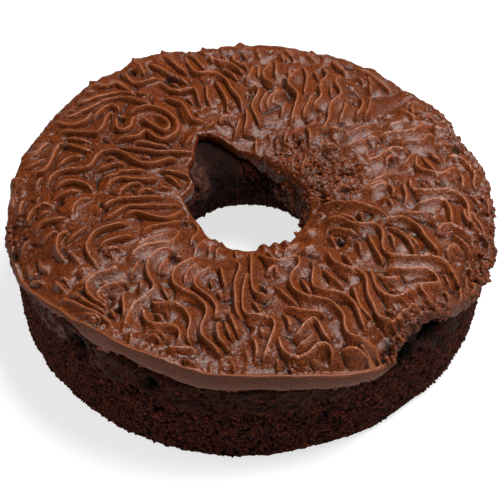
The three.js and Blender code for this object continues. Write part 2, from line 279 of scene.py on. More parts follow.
# Comb ridges: (start, end, side bends, bends along, joins). start and end are
# (angle, radius); the bends are the sizes in mm of a short sine series across
# and along the chord; "<" and ">" mark an end that runs on into its neighbour.
RIDGES = [
    ((260.8, 43.3), (268.7, 87), (-1.4, 2, 0.5, 0.7,), (-0.1, -0.2, 0.2, -0.1,), ""),
    ((271, 51.3), (274, 83.3), (-7.2, 1.8, -0.7, 0.3,), (2.4, -1.4, 0.8, -0.4,), ">"),
    ((274, 83.3), (272.9, 111), (5, 2, 0.6,), (-2, -0.9, -0.6,), "<"),
    ((271.3, 32.4), (279.1, 71.3), (-6.2, 2.5, -0.9, 0.4,), (2.6, -1.2, 0.7, -0.4,), ""),
    ((278.3, 33.9), (295.3, 55), (-1.6, -4.1, 1.1, -0.3, -0.2,), (1.4, -0, -0.7, -0.1, 0.2,), ">"),
    ((295.3, 55), (297.4, 94), (-8.1, -4, 0.8,), (-2.1, -0.4, -0.9,), "><"),
    ((297.4, 94), (297.7, 121.8), (2.8, -5, -0.4, 0.4,), (0.8, 0.6, 0.6, -0.7,), "<"),
    ((280.4, 77.6), (292.7, 93.4), (1.5, -0.9, 0.5,), (0.4, -0.2, 0.1,), ""),
    ((291.1, 106.6), (288.6, 116.9), (15, 0.2, -1.3, -0.2,), (-3.1, -2.5, 0.2, 0.7,), ""),
    ((301.6, 55.7), (297.4, 76), (-3.1, 1.4,), (0.8, -0.3,), ">"),
    ((297.4, 76), (300.2, 105.1), (5.6, 1.2,), (-0.6, -0.2,), "<"),
    ((313.9, 51.9), (307.2, 93.2), (2.6, -2.8, -1.4, 0.8,), (0, 0.6, 0.2, -0.1,), ">"),
    ((307.2, 93.2), (313.5, 115.2), (1.2, -6.3, 0.2, 0.2, -0.1,), (1.8, 0.1, 0.2, -0.6, -0.1,), "<"),
    ((318, 74.3), (320.9, 99.2), (-12.5, 1.1, 0.7, -0.3,), (2.2, -1.6, 0.3, 0.3,), ""),
    ((307.5, 76.7), (304.5, 102.4), (-3, 0.8,), (0.3, -0.1,), ""),
    ((276.3, 57.3), (280.5, 59.4), (6.5, -0, -0.8,), (1.4, -1, 0.3,), ""),
    ((278, 92), (287.8, 113.3), (-1.1, -7.6, 1.4, 0.2, -0,), (3.1, 0.6, -0.5, -1.1, 0.8,), ""),
    ((279.8, 97.6), (291.1, 105.2), (10.2, -0.8, -1.8, -0, 0.3,), (0.4, 0.4, 0.2, 0.6, 0.1,), ""),
    ((270, 92.7), (271.2, 109.6), (2.3,), (-0.2,), ""),
    ((261.2, 83.9), (266.5, 102.5), (-4.5, 0.4,), (0.3, -0.4,), ""),
    ((262.3, 83.9), (266, 98.2), (-0.5,), (-0,), ""),
    ((284.8, 33.2), (287.3, 44.8), (-1.1,), (0,), ""),
    ((295.6, 34.5), (285.8, 42.9), (-0.4,), (-0,), ""),
    ((322.2, 90), (318.5, 79.5), (6.4, -0.3,), (0.8, -1,), ""),
    ((337.7, 36.6), (336.8, 68.5), (0.5, -0.1, 0.9, -0.9,), (0.5, -0.1, 0.1, 0.1,), ">"),
    ((336.8, 68.5), (331.8, 95.2), (-10.2, -0.6, 0.8, 0.2,), (-0.7, -0.7, 0, 0.4,), "><"),
    ((331.8, 95.2), (318.8, 115), (13.4, 0.1, 0.4,), (-0.2, -2.9, 0,), "<"),
    ((318.1, 80.5), (327.8, 100.8), (0.4, -0.6, 0.6,), (0.2, -0, -0,), ">"),
    ((327.8, 100.8), (316.7, 113.6), (-2.6, 0.8, 2.7, 0.6,), (-1.6, 0.9, 0.5, -0.1,), "<"),
    ((330.7, 89.3), (339.5, 66.9), (-3.8,), (0.1,), ""),
    ((334.4, 100.1), (339.5, 67.5), (-8.8, 2.4, -0, 0,), (3.1, -1.5, 1, -0.4,), ""),
    ((334.5, 104.1), (339.3, 109.9), (6.2, 0,), (-0, -1.1,), ""),
    ((344, 119.1), (0.5, 96.1), (-2.3, 1.7, -2.1, -0.4,), (0.9, -0.1, 0.3, -0.1,), ">"),
    ((0.5, 96.1), (8.9, 78.4), (7.8, -0.5, -0.5, 0.4,), (1, -0.7, -0.1, 0.4,), "<"),
    ((346.1, 98.7), (351.5, 77.5), (-12.2, -0.3, 1.2,), (-0.4, -0.8, -0.1,), ""),
    ((346.7, 108.6), (340.2, 93.4), (-4.9, 1.4, 0.5,), (0.8, -0.1, 0.4,), ""),
    ((349.1, 110.5), (356.7, 104.2), (3.2,), (-0.4,), ""),
    ((10, 106.5), (19.8, 86.2), (11.2, -0.6, -1.2, -0.2, -0.5,), (0.4, -1.2, 0.4, 1, 0,), ""),
    ((11.8, 74.8), (20.3, 87.2), (-1,), (-0,), ""),
    ((355.3, 66.9), (359.4, 53.4), (-8.7, -1, 0.7,), (-3.3, -1.6, -0.6,), ""),
    ((11.1, 72.8), (4.3, 55.2), (0.1,), (0,), ""),
    ((299.6, 61.6), (303, 51.4), (-0.3,), (-0,), ""),
    ((326.6, 44.8), (319, 55.3), (-0.5,), (0,), ""),
    ((323.9, 53.2), (319.4, 68.5), (4.2,), (-0.2,), ""),
    ((344.7, 97.8), (341.7, 112.9), (-1.4,), (-0,), ""),
    ((339.6, 58.9), (347.5, 51.7), (-0.6,), (-0,), ""),
    ((15.4, 58.9), (6.3, 55.7), (-0.2,), (-0,), ""),
    ((29, 104.8), (31.7, 73.9), (0.8, 0.5, -1.3, -0.3,), (-0.2, -0.1, -0.1, 0.1,), ""),
    ((23.3, 103), (25.7, 79.1), (0.6, -0.9, -1.3, -0.5,), (-0.7, 0.2, 0.2, -0.1,), ""),
    ((25.6, 88.8), (28.9, 76.8), (-0,), (0,), ""),
    ((20.1, 86.2), (19.6, 53.2), (-2.8, -1.9, -0.4, 0.4, 0.3,), (-0.9, -0, 0.1, 0, 0.1,), ""),
    ((50.5, 96.7), (42.2, 77.1), (1.7,), (-0.1,), ""),
    ((53.2, 91.1), (44.4, 74.2), (3.5, 0.9,), (-0.4, -0.2,), ""),
    ((60.5, 103.1), (51.9, 55.3), (0.9, -1.4, -0.4, -1.9, -0.6,), (-0.6, 0.2, 0.1, 0.2, 0.1,), ""),
    ((69.6, 104.6), (61.8, 67.3), (4.2, 0.9, 1.3, 0.5, -0.5,), (-0.9, -0.3, 0, -0.1, -0.2,), ""),
    ((75, 103.6), (67.7, 74.2), (2.6, 0.6, -0.2,), (-0.2, -0, 0,), ""),
    ((74.9, 102), (68.3, 55), (-0.5, -2.7, -0.1, 1, 0.6,), (-0.3, 0.5, 0.2, -0.3, -0,), ""),
    ((77.9, 99.9), (77.3, 88.3), (1,), (0,), ""),
    ((77.9, 82.2), (80.6, 63.6), (0.1,), (0,), ""),
    ((41.5, 106.5), (39.5, 102.1), (2.1,), (-3.8,), ""),
    ((52.6, 102.7), (49.4, 95.4), (-0.2, -0.3,), (-8, -2.5,), ""),
    ((60.6, 102.3), (60.5, 102.1), (0.3,), (-4.7,), ""),
    ((33.3, 71.7), (31.1, 54.4), (-1.1, 0.8,), (0.2, -0,), ""),
    ((42.2, 93.7), (38.9, 89.6), (-0,), (0,), ""),
    ((42.1, 88.8), (38.9, 84.1), (0,), (0,), ""),
    ((67.2, 52.3), (63.5, 38.3), (-0.6,), (-0,), ""),
    ((61.6, 57.8), (59.8, 44.8), (-1.2,), (0,), ""),
    ((83, 103.9), (78.9, 82.5), (-6.4, 1.6, 0.3,), (1.3, -0.7, 0.5,), ""),
    ((78.9, 82.5), (80.8, 60.9), (-1.1, 0.9,), (0.2, -0,), ""),
    ((88.3, 100.3), (86.2, 84.7), (1, 0.7,), (-0.2, -0,), ""),
    ((88.3, 99.7), (91.9, 80.7), (1,), (-0,), ""),
    ((91.3, 79.4), (83, 48.9), (2.6, 3.2, 1.6, 0,), (-2.7, -0.6, -0.3, -0.4,), ""),
    ((94.2, 101.2), (89.4, 90.9), (1, 0.4, 1.2, 0.4,), (-5.2, -2.2, -1, -0.4,), ""),
    ((100.1, 100), (91.3, 88.1), (3.7, -0.5, 0.4, 0.3, 0.2,), (-6.8, -3.1, -1.2, -0.5, 0,), ""),
    ((108.5, 100.9), (100.4, 90.1), (0.5, 2.7, 1.5,), (-5.2, -1.8, -1,), ">"),
    ((100.4, 90.1), (94.1, 60.2), (3.2, -0.3, 0.8,), (0.2, -0.3, 0.1,), "<"),
    ((105.5, 86.7), (105.3, 66.8), (-0.7, 0.9,), (0.1, -0,), ""),
    ((96.3, 59.5), (104, 51.3), (-1.7, 2.2, 0.3,), (0.5, -0.1, 0.6,), ""),
    ((94, 58.3), (101.4, 41.5), (1,), (-0,), ""),
    ((232.3, 101.8), (217.5, 78.4), (9.7, 2.4, -2.6, 0.8, -0.4,), (1.9, -0.4, -0.6, 0.6, 0,), ""),
    ((231.3, 98.9), (230.4, 86.1), (9.9, 1.1, -0.6, -0.4, -0.1,), (1.2, -2.9, 0.9, -0.4, 0.5,), ""),
    ((229.8, 85.2), (235.5, 101.9), (-0.2, -0.9,), (0, 0,), ""),
    ((238.7, 109.1), (232, 73.9), (-1.2, 2.6, -1.3,), (1.4, -0.3, 0.1,), ">"),
    ((232, 73.9), (229.9, 51.2), (7.3, -0.3,), (0.4, -1.2,), "<"),
    ((237.3, 87.8), (251.5, 106.4), (2, -5.1, 0.3, 0.3,), (1.6, 0.2, 0.2, -0.7,), ""),
    ((237.3, 82.6), (256.9, 103.7), (5.7, -0.2, -2.5, -0.4, -0.6,), (-0.7, 0.1, 0.2, 0.7, -0,), ""),
    ((241, 46.7), (255.4, 78), (-12.6, -0.3, 1.1, -0.1,), (-0.2, -0.9, -0.3, 0.6,), ">"),
    ((255.4, 78), (263.9, 107.3), (-4.6, 0.6, 1.2,), (0.1, 0.1, 0.1,), "<"),
    ((253.6, 50.1), (259.6, 88.3), (-6.4, -4.3, 1.1, 0.6,), (-1.3, 0.3, -0.6, -0,), ""),
    ((260.9, 67.3), (253.5, 48.5), (-0.3,), (0,), ""),
    ((244, 108.5), (248.6, 110), (4.5, 0,), (0.1, -0.9,), ""),
    ((217.9, 112.2), (236.5, 108.3), (1.4,), (0,), ""),
    ((218.2, 105.6), (233.3, 104.6), (0.3,), (0,), ""),
    ((225.8, 112.4), (233.8, 108.2), (0.3,), (0,), ""),
    ((245.2, 45.1), (241.8, 31.8), (0.9,), (0,), ""),
    ((250.1, 45.2), (249.4, 31.6), (1.2,), (-0,), ""),
    ((216.8, 101.3), (218.1, 86.4), (-1.3, -1.4,), (-0.6, -0.1,), ""),
    ((213.6, 99), (214.2, 87), (-0.4,), (0,), ""),
    ((211.7, 105.4), (217.2, 104.1), (2.1,), (-0.1,), ""),
    ((205.8, 116), (210.6, 108), (-0.8,), (0,), ""),
    ((61, 112.2), (45.6, 106.3), (1.9, 0.7, 0.3,), (-0.3, -0.2, -0.1,), ""),
    ((58.9, 102.5), (54.3, 100.7), (2.9,), (-0.3,), ""),
    ((56.1, 89.1), (53.8, 97.6), (1.7, -0.5,), (0.4, -0.3,), ""),
    ((42, 111), (34.1, 101.2), (-0.2, 0.6,), (0, 0,), ""),
    ((41.5, 99.1), (32.1, 98.5), (1, -0.9,), (-0, 0.1,), ""),
    ((32.3, 102), (29.7, 109.2), (4.2, 0.8,), (-0.5, -0.2,), ""),
    ((28.1, 100.5), (27.2, 112.7), (-0.8, 1.3,), (-0, 0.3,), ""),
    ((34, 80.9), (32.2, 96.2), (2.4,), (0.1,), ""),
    ((20, 93.8), (12.6, 98.6), (-1.2,), (0.1,), ""),
    ((18.6, 97.1), (19.6, 108.2), (2.7,), (0.1,), ""),
    ((13.5, 99.6), (1.9, 111.7), (7.7, 1.9, -0.4, 0.4, -0.2,), (-3.7, -2, -1.4, -0.2, -0.3,), ""),
    ((10.1, 103.5), (1.1, 102.1), (2.4,), (-0,), ""),
    ((6.7, 88.7), (2.6, 91.4), (2,), (-0.3,), ""),
    ((27.7, 67.7), (30.7, 71.8), (-3.1, 0.2,), (0.5, -0.6,), ""),
    ((32.1, 65.1), (29.6, 77.3), (2.3,), (0.2,), ""),
    ((14.6, 69.4), (20.1, 78.3), (2.5,), (0.2,), ""),
    ((355.6, 60.9), (350.3, 69.9), (3.2,), (-0.1,), ""),
    ((345.5, 85.3), (351.7, 92.7), (-1.7,), (0.1,), ""),
    ((338.8, 76.5), (332.9, 90.8), (1,), (-0,), ""),
    ((337.4, 68.2), (328.8, 79.3), (2.1,), (-0.1,), ""),
    ((1.9, 111.1), (354.5, 115.5), (1.8,), (-0.1,), ""),
    ((356.6, 106.5), (346.4, 116.1), (0.2, -0.7,), (0, 0,), ""),
    ((4.5, 98.4), (3.2, 100.1), (2.9, 0,), (-1.3, -0.9,), ""),
    ((339.5, 108.2), (333.8, 114.6), (1.6,), (-0,), ""),
    ((342, 112.4), (337.4, 119.5), (2.4, 0.5,), (-0.3, -0.3,), ""),
    ((321.2, 49.3), (323.9, 55.5), (1.8,), (-0.1,), ""),
    ((347.9, 52.6), (340.7, 59.1), (0.5,), (0,), ""),
    ((321.9, 107.3), (317.1, 114.6), (0.6,), (-0,), ""),
    ((319.1, 105.7), (314.7, 113.7), (-0.1,), (0,), ""),
    ((319.5, 114.1), (324, 116.9), (0.4,), (0,), ""),
    ((335.7, 110.1), (323.8, 119.4), (2.6,), (-0.1,), ""),
    ((304.1, 110.7), (302.5, 122.6), (0.2,), (0,), ""),
    ((306.7, 103.9), (312.8, 107.7), (-0.5,), (0,), ""),
    ((307.5, 114.7), (311.3, 116.4), (-0.1,), (0,), ""),
    ((295.4, 106.8), (296.3, 120.6), (5.7, -0.5,), (1, -1.1,), ""),
    ((324.7, 105.5), (323.1, 113.6), (3.1,), (-0,), ""),
    ((210.4, 106.5), (211.9, 112.8), (-0.3,), (0,), ""),
    ((211.4, 104.8), (218.4, 105.7), (-1.5,), (-0,), ""),
    ((227.9, 112.4), (233.2, 109.7), (0.1,), (-0,), ""),
    ((112.5, 122.7), (101.4, 105.4), (5.4, -0.5,), (0.4, -0.6,), ""),
    ((100.1, 111), (89.3, 113.7), (1.5, 1.3, -0.8,), (0.2, 0.1, -0.2,), ""),
    ((117.2, 53.8), (106.5, 58.8), (-2.3,), (0.3,), ""),
    ((91.4, 65.2), (94.2, 42.6), (1.6,), (0.1,), ""),
    ((81.1, 114.7), (76.6, 104.7), (0.2,), (-0,), ""),
    ((83.3, 105.8), (81.2, 86), (1.7,), (-0.1,), ""),
    ((71.4, 94.6), (66.1, 90.6), (3.5, 0.8,), (-1.8, -0.9,), ""),
    ((74.4, 117), (70.6, 107.5), (-1.7,), (0,), ""),
    ((71.7, 116.8), (70, 109.5), (2.8, 0.5,), (-1.6, -1,), ""),
    ((66.5, 115.1), (60.7, 103.9), (-2.4, -1.1,), (-0.4, -0.1,), ""),
    ((73.9, 72.9), (74.3, 57.1), (-0.2,), (-0,), ""),
    ((71.8, 51), (70.1, 38.3), (-0.3,), (0,), ""),
    ((77.4, 49.9), (74.7, 43.1), (-0.7,), (0,), ""),
    ((61.8, 58), (50, 46.1), (2,), (0,), ""),
    ((60, 71.4), (56.9, 63.1), (1,), (-0,), ""),
    ((52.8, 61.7), (44, 67), (-1.9,), (0.1,), ""),
    ((36.8, 47.2), (35.6, 55.7), (4.5, 0,), (0.2, -1.1,), ""),
    ((28.1, 56.1), (22.6, 48.1), (-0.1,), (-0,), ""),
    ((30.3, 52.2), (24.5, 43.9), (0.1,), (0,), ""),
    ((311.6, 34.1), (332.2, 39.1), (-0.5,), (0,), ""),
    ((298.2, 44.3), (316.9, 46.2), (-0.1,), (0,), ""),
    ((341.4, 41.2), (338.7, 56.8), (0.7,), (0,), ""),
    ((2.2, 52.5), (7.2, 69.7), (0.1,), (0,), ""),
    ((2.1, 65.4), (356.6, 65.4), (1.3,), (-0,), ""),
    ((231.2, 95.6), (235.4, 102.3), (-2.8,), (-0.1,), ""),
    ((243.1, 102.1), (249.4, 107.7), (3.9, -0.2,), (0.3, -0.5,), ""),
    ((248.8, 109.6), (258.9, 106.2), (0.3, -1.1,), (0.3, 0,), ""),
    ((262.6, 77.8), (267.6, 96.2), (0,), (0,), ""),
    ((256.7, 71.5), (258.9, 75.5), (3.4, -0,), (-1.1, -1.4,), ""),
    ((283, 111.7), (286.2, 113.9), (3, -0.2,), (0.5, -0.6,), ""),
    ((137.3, 117.1), (124.1, 89.2), (5.5, 1.9, -0.7, 1.1, 1.2,), (-1.2, 0.3, -0.5, -0.2, -0.3,), ""),
    ((124.3, 119.9), (120.6, 103.1), (6.4, 1.5, 0.3,), (-3.1, -1.6, -0.8,), ""),
    ((124, 114.5), (116.6, 98.6), (-7.9, -1, 0.7,), (-0.9, -0.6, -0.5,), ""),
    ((120.6, 126.1), (108.9, 95.1), (7.1, 1.4,), (-0.9, -0.6,), ""),
    ((118.4, 97.8), (109.9, 67.8), (2.7, -3.9, -1.2, 0.9, -0.1,), (0.3, 1.4, 0.1, -0.7, -0.3,), ""),
    ((122.6, 84.1), (110.3, 58.1), (-1.5, 3.6, -0.8,), (1.5, -0.2, 0.2,), ""),
    ((143.3, 111.6), (127.5, 90.8), (5.6, -1,), (0.6, -0.5,), ""),
    ((149.9, 115), (141, 99), (-8.4, -0.1, 0.4, -0.1,), (0.1, -0.9, -0.2, 0.4,), ""),
    ((146.9, 95.2), (139.1, 87.5), (8.3, -1.1, -0.5,), (4.1, -1.9, 0.6,), ""),
    ((155.4, 104.9), (143.8, 90), (-5.2, 3, 0.6, 0.3, 0.6,), (1.1, -0.5, 0.5, 0.1, 0.2,), ">"),
    ((143.8, 90), (133.5, 79.5), (-6.3, 3.2, 3, 0, 0.4,), (-2, 1.1, 0.9, 0.6, -0.6,), "<"),
    ((133.5, 79.5), (129.8, 75.7), (-11.7, -0.5, 1.4, -0.4, -0.6,), (8.1, -2.6, -0.4, 0.3, -0,), ""),
    ((137.3, 84), (137.6, 57.1), (15.9, 0, -0.1, -0.1,), (0.6, -4.3, 0.2, -0.6,), ">"),
    ((137.6, 57.1), (152.3, 76.4), (-5.7, -0.9, 0, 1.3, 0.3,), (-1.2, 0.7, 0.7, -0.2, 0,), "<"),
    ((154.1, 83), (150.7, 79.2), (3.2,), (0.5,), ""),
    ((166.5, 115.6), (157.9, 104), (-0.1, -1.7,), (-0, -0.1,), ""),
    ((170.8, 109.4), (158, 80.9), (7.3, -4.1, -3, 0.1, -0.2,), (-0.3, 1, -0.2, 0.1, -0.1,), ""),
    ((178, 97.2), (157.8, 76.4), (1.8, 3.2, 1.2, -0.8, 0.4,), (-0.7, 0.2, -0.3, -0.3, -0.1,), ">"),
    ((157.8, 76.4), (140, 43), (-5.2, 1.1, 1.8,), (-0.3, 0.2, 0.2,), "<"),
    ((179.7, 95.1), (180.2, 73.9), (7.3, 0.2,), (-0.3, -1,), ""),
    ((172.1, 83.6), (173, 77.4), (2.1,), (-0.4,), ""),
    ((180.4, 68.4), (160.6, 45.8), (4.1, 3.4, -0.1,), (-1.4, -0.2, -0.4,), ""),
    ((183.8, 63.8), (172.9, 49), (5, -0.2,), (0.2, -0.7,), ""),
    ((157.2, 46.6), (163.6, 31.8), (-0.3,), (-0,), ""),
    ((157.3, 49.5), (173.9, 32.6), (10.6, -1.2, -0.9,), (1.8, -1, 0.6,), ""),
    ((192.6, 86.1), (182.5, 73.1), (5,), (0.2,), ""),
    ((193.7, 75.7), (177.3, 39.1), (4.6, 1.8, -0, -0.2,), (-0.7, -0.2, -0.1, 0.1,), ""),
    ((196.1, 63.5), (184.1, 30.4), (-4.7, 2.3, 1.3,), (0.2, 0.2, 0.4,), ""),
    ((217.2, 85.9), (200.1, 58.5), (13.1, 0.5, -0.5,), (-0.7, -1.5, -0.3,), ""),
    ((210.4, 82.2), (209, 59.3), (3.1, 0.8,), (-0.3, -0.1,), ""),
    ((212.8, 81.8), (215.6, 70.3), (3.4,), (0.3,), ""),
    ((211, 59.7), (197.2, 33.6), (-0.1, 1.7,), (0.1, -0,), ""),
    ((197.2, 33.6), (229.7, 43.4), (6.3, 1.2, 0.2,), (-1.5, -1, -0.5,), ""),
    ((209.2, 97.2), (197.2, 86.2), (6.9, -0.8,), (0.9, -0.9,), ""),
    ((204.4, 92.5), (212.9, 91.6), (-0.5,), (-0,), ""),
    ((195, 104.2), (190.6, 86.5), (3.6, 1.7,), (-1, -0.3,), ""),
    ((200.1, 103.9), (196.9, 90.2), (2.7,), (-0.2,), ""),
    ((191.2, 106.6), (185.3, 92.6), (6.7, 0,), (-0.1, -0.8,), ""),
    ((189.5, 110.5), (179.6, 107.1), (2.3, -0.5,), (0.2, -0.2,), ""),
    ((183.9, 114.1), (174.2, 107.7), (6.6, -2, 0.1,), (3.6, -1.7, 0.6,), ""),
    ((183, 55.1), (175.8, 42.6), (3.6,), (-0.2,), ""),
    ((220.3, 74.1), (211.1, 37.9), (-3.4, 3.3, 0.3, -0.4,), (0.7, 0.2, 0.3, -0.3,), ""),
]


# --------------------------------------------------------------- comb ridges
def ridge_path(start, end, side, along, joins, step=0.8):
    """Points, tangents and end fade of one ridge: a chord bent by short sine series."""
    a0, r0 = math.radians(start[0]), start[1]
    a1, r1 = math.radians(end[0]), end[1]
    p0 = np.array([r0 * math.cos(a0), r0 * math.sin(a0)])
    p1 = np.array([r1 * math.cos(a1), r1 * math.sin(a1)])
    chord = p1 - p0
    length = np.hypot(*chord)
    T = chord / length
    N = np.array([-T[1], T[0]])
    reach = length + 2.2 * (sum(abs(v) for v in side) + sum(abs(v) for v in along))
    n = max(6, int(reach / step))
    s = np.linspace(0, 1, n)
    p = p0 + np.outer(s, chord)
    for k, v in enumerate(side, 1):
        p = p + np.outer(v * np.sin(k * math.pi * s), N)
    for k, v in enumerate(along, 1):
        p = p + np.outer(v * np.sin(k * math.pi * s), T)
    tan = np.gradient(p, axis=0)
    tan /= np.linalg.norm(tan, axis=1)[:, None]
    run = np.concatenate([[0], np.cumsum(np.hypot(*np.diff(p, axis=0).T))])
    fade = np.ones(n)
    if "<" not in joins:
        fade *= smooth(run / END_FADE)
    if ">" not in joins:
        fade *= smooth((run[-1] - run) / END_FADE)
    return p, tan, fade


def ridge_runs():
    """Neighbouring rows that run on into each other, joined into whole ridges."""
    runs = []
    for start, end, side, along, joins in RIDGES:
        p, tan, fade = ridge_path(start, end, side, along, joins)
        if "<" in joins and runs:
            q = runs[-1]
            runs[-1] = tuple(np.concatenate([u, v]) for u, v in zip(q, (p, tan, fade)))
        else:
            runs.append((p, tan, fade))
    return runs


def lip_r(a):
    return np.interp(np.asarray(a) % 360.0, [v[0] for v in LIP_LINE], [v[1] for v in LIP_LINE])


def between_runs(runs):
    """Strokes that run alongside the stated ones wherever these leave the frosting bare."""
    cell, half = 1.5, 126.0
    n = int(2 * half / cell)
    flow = np.zeros((n, n, 2))
    points = []
    for p, tan, fade in runs:
        i = np.clip(((p + half) / cell).astype(int), 0, n - 1)
        w = 2 * np.arctan2(tan[:, 1], tan[:, 0])
        np.add.at(flow, (i[:, 0], i[:, 1]), np.stack([np.cos(w), np.sin(w)], axis=1))
        points.append(p)

    def blur(v, sigma):
        k = np.arange(-int(3 * sigma), int(3 * sigma) + 1)
        k = np.exp(-0.5 * (k / sigma) ** 2)
        for axis in (0, 1):
            v = np.apply_along_axis(lambda m: np.convolve(m, k, mode="same"), axis, v)
        return v

    flow = np.stack([blur(flow[..., c], 3.2) + 0.06 * blur(flow[..., c], 9.0) for c in (0, 1)], axis=-1)

    def way(q):
        i = np.clip(((q + half) / cell).astype(int), 0, n - 1)
        v = flow[i[0], i[1]]
        w = 0.5 * math.atan2(v[1], v[0]) + 0.45 * float(N4.noise(np.array([[q[0] / 7.5, q[1] / 7.5, 3.1]]))[0])
        return np.array([math.cos(w), math.sin(w)])

    g = np.arange(-118, 118.1, 1.6)
    gx, gy = (v.ravel() for v in np.meshgrid(g, g))
    gr, ga = np.hypot(gx, gy), np.degrees(np.arctan2(gy, gx)) % 360
    lip = lip_r(ga)
    open_to = (gr > lip + 3.0) & (gr < 112.5) & (spots(SMOOTH_SPOTS, ga, gr) < 0.35)
    seeds = np.stack([gx, gy], axis=1)[open_to]
    have = np.concatenate(points)
    dist = np.full(len(seeds), 1e9)
    for k in range(0, len(have), 400):
        d = seeds[:, None, :] - have[None, k:k + 400, :]
        dist = np.minimum(dist, np.sqrt((d ** 2).sum(-1)).min(1))
    added = []
    while True:
        k = int(np.argmax(dist))
        if dist[k] < BARE_MM or len(added) > 420:
            break
        seed = seeds[k]
        arms = []
        for sense in (1.0, -1.0):
            q, arm = seed.copy(), []
            v = way(q) * sense
            for _ in range(int(BETWEEN_LONG / 0.8)):
                w = way(q)
                if w @ v < 0:
                    w = -w
                v = 0.75 * v + 0.25 * w
                v /= np.hypot(*v)
                q = q + 0.8 * v
                rq = math.hypot(*q)
                if rq > 114.5 or rq < LIP_R - 1.5:
                    break
                if np.sqrt(((have - q) ** 2).sum(1)).min() < BETWEEN_GAP:
                    break
                arm.append(q.copy())
            arms.append(arm)
        p = np.array(arms[1][::-1] + [seed] + arms[0])
        dist[k] = 0.0
        if len(p) < 9:
            continue
        tan = np.gradient(p, axis=0)
        tan /= np.linalg.norm(tan, axis=1)[:, None]
        run = np.arange(len(p)) * 0.8
        ends = smooth((run + 0.8) / 7.0) * smooth((run[-1] - run + 0.8) / 7.0)
        added.append((p, tan, 0.88 * ends))
        have = np.concatenate([have, p])
        d = seeds[:, None, :] - p[None, :, :]
        dist = np.minimum(dist, np.sqrt((d ** 2).sum(-1)).min(1))
    return added


def comb_field(x, y):
    """For every point: closeness to the ridge it belongs to (1 on a crest), the
    next ridge's closeness, the way the crest leans, and closeness to the crest line."""
    n = len(x)
    first, second = np.zeros(n), np.zeros(n)
    lean = np.zeros((n, 2))
    crest = np.zeros(n)
    runs = ridge_runs()
    for p, tan, fade in runs + between_runs(runs):
        lo, hi = p.min(0) - RIDGE_REACH, p.max(0) + RIDGE_REACH
        idx = np.nonzero((x > lo[0]) & (x < hi[0]) & (y > lo[1]) & (y < hi[1]))[0]
        if not len(idx):
            continue
        q = np.stack([x[idx], y[idx]], axis=1)
        near = np.zeros(len(idx), dtype=int)
        bearing = np.degrees(np.arctan2(p[:, 1], p[:, 0])) % 360
        best = np.full(len(idx), 1e9)
        for k in range(len(p)):
            d = (q[:, 0] - p[k, 0]) ** 2 + (q[:, 1] - p[k, 1]) ** 2
            m = d < best
            best[m] = d[m]
            near[m] = k
        ok = best < RIDGE_REACH ** 2
        idx, q, near = idx[ok], q[ok], near[ok]
        v = q - p[near]
        t = tan[near]
        left = np.stack([-t[:, 1], t[:, 0]], axis=1)
        across = np.sum(v * left, axis=1)
        past = np.maximum(np.abs(np.sum(v * t, axis=1)) - 0.5, 0)
        at_left = smooth((218 - bearing[near]) / 18) * smooth((bearing[near] - 100) / 18)
        aim = np.radians(STEEP_WAY + at_left * (STEEP_WAY_LEFT - STEEP_WAY))
        steep_way = np.stack([np.cos(aim), np.sin(aim)], axis=1)
        toward = np.clip(np.sum(left * steep_way, axis=1) * 2.5, -1, 1)     # +1 where the left side is the steep one
        d = np.hypot(across, past)
        side = np.clip(across / 0.6, -1, 1) * toward           # +1 on the steep side
        w = 0.5 + 0.5 * side                                   # 1 on the steep side, 0 on the gentle one
        size = 0.6 + 0.4 * fade[near]
        steep = np.exp(-(d / (STEEP_REACH * size)) ** 1.25)
        gentle = BODY_SHARE * np.exp(-(d / (BODY_REACH * size)) ** 1.4) + (1 - BODY_SHARE) * np.exp(-(d / (GENTLE_REACH * size)) ** 1.1)
        rim = np.minimum(1, (RIDGE_REACH - d) / 2.5)
        up = fade[near] * (w * steep + (1 - w) * gentle) * rim
        high = up > first[idx]
        g = idx[high]
        second[idx] = np.where(high, first[idx], np.maximum(second[idx], up))
        first[g] = up[high]
        way = left * np.sign(toward + 1e-9)[:, None] * np.abs(toward)[:, None]
        lean[g] = (way * (np.exp(-(d / 1.5) ** 2) * fade[near])[:, None])[high]
        crest[g] = (np.exp(-(d / 0.5) ** 2) * fade[near])[high]
    return first, second, lean, crest


UNDER_ROWS = 7
END_FADE = 6.0
RIDGE_REACH = 13.0
STEEP_REACH, BODY_REACH, GENTLE_REACH, BODY_SHARE = 1.15, 1.8, 5.4, 0.50
STEEP_WAY = 143.0              # the steep flank looks back and left,
STEEP_WAY_LEFT = 296.0         # at the left of the cake forwards
RIDGE_H = 4.3              # crest above an open floor
LEAN_MM = 0.55
CREASE_MM = 1.1
BARE_MM, BETWEEN_GAP, BETWEEN_LONG = 4.7, 2.9, 46.0      # spacing and length of the strokes in between

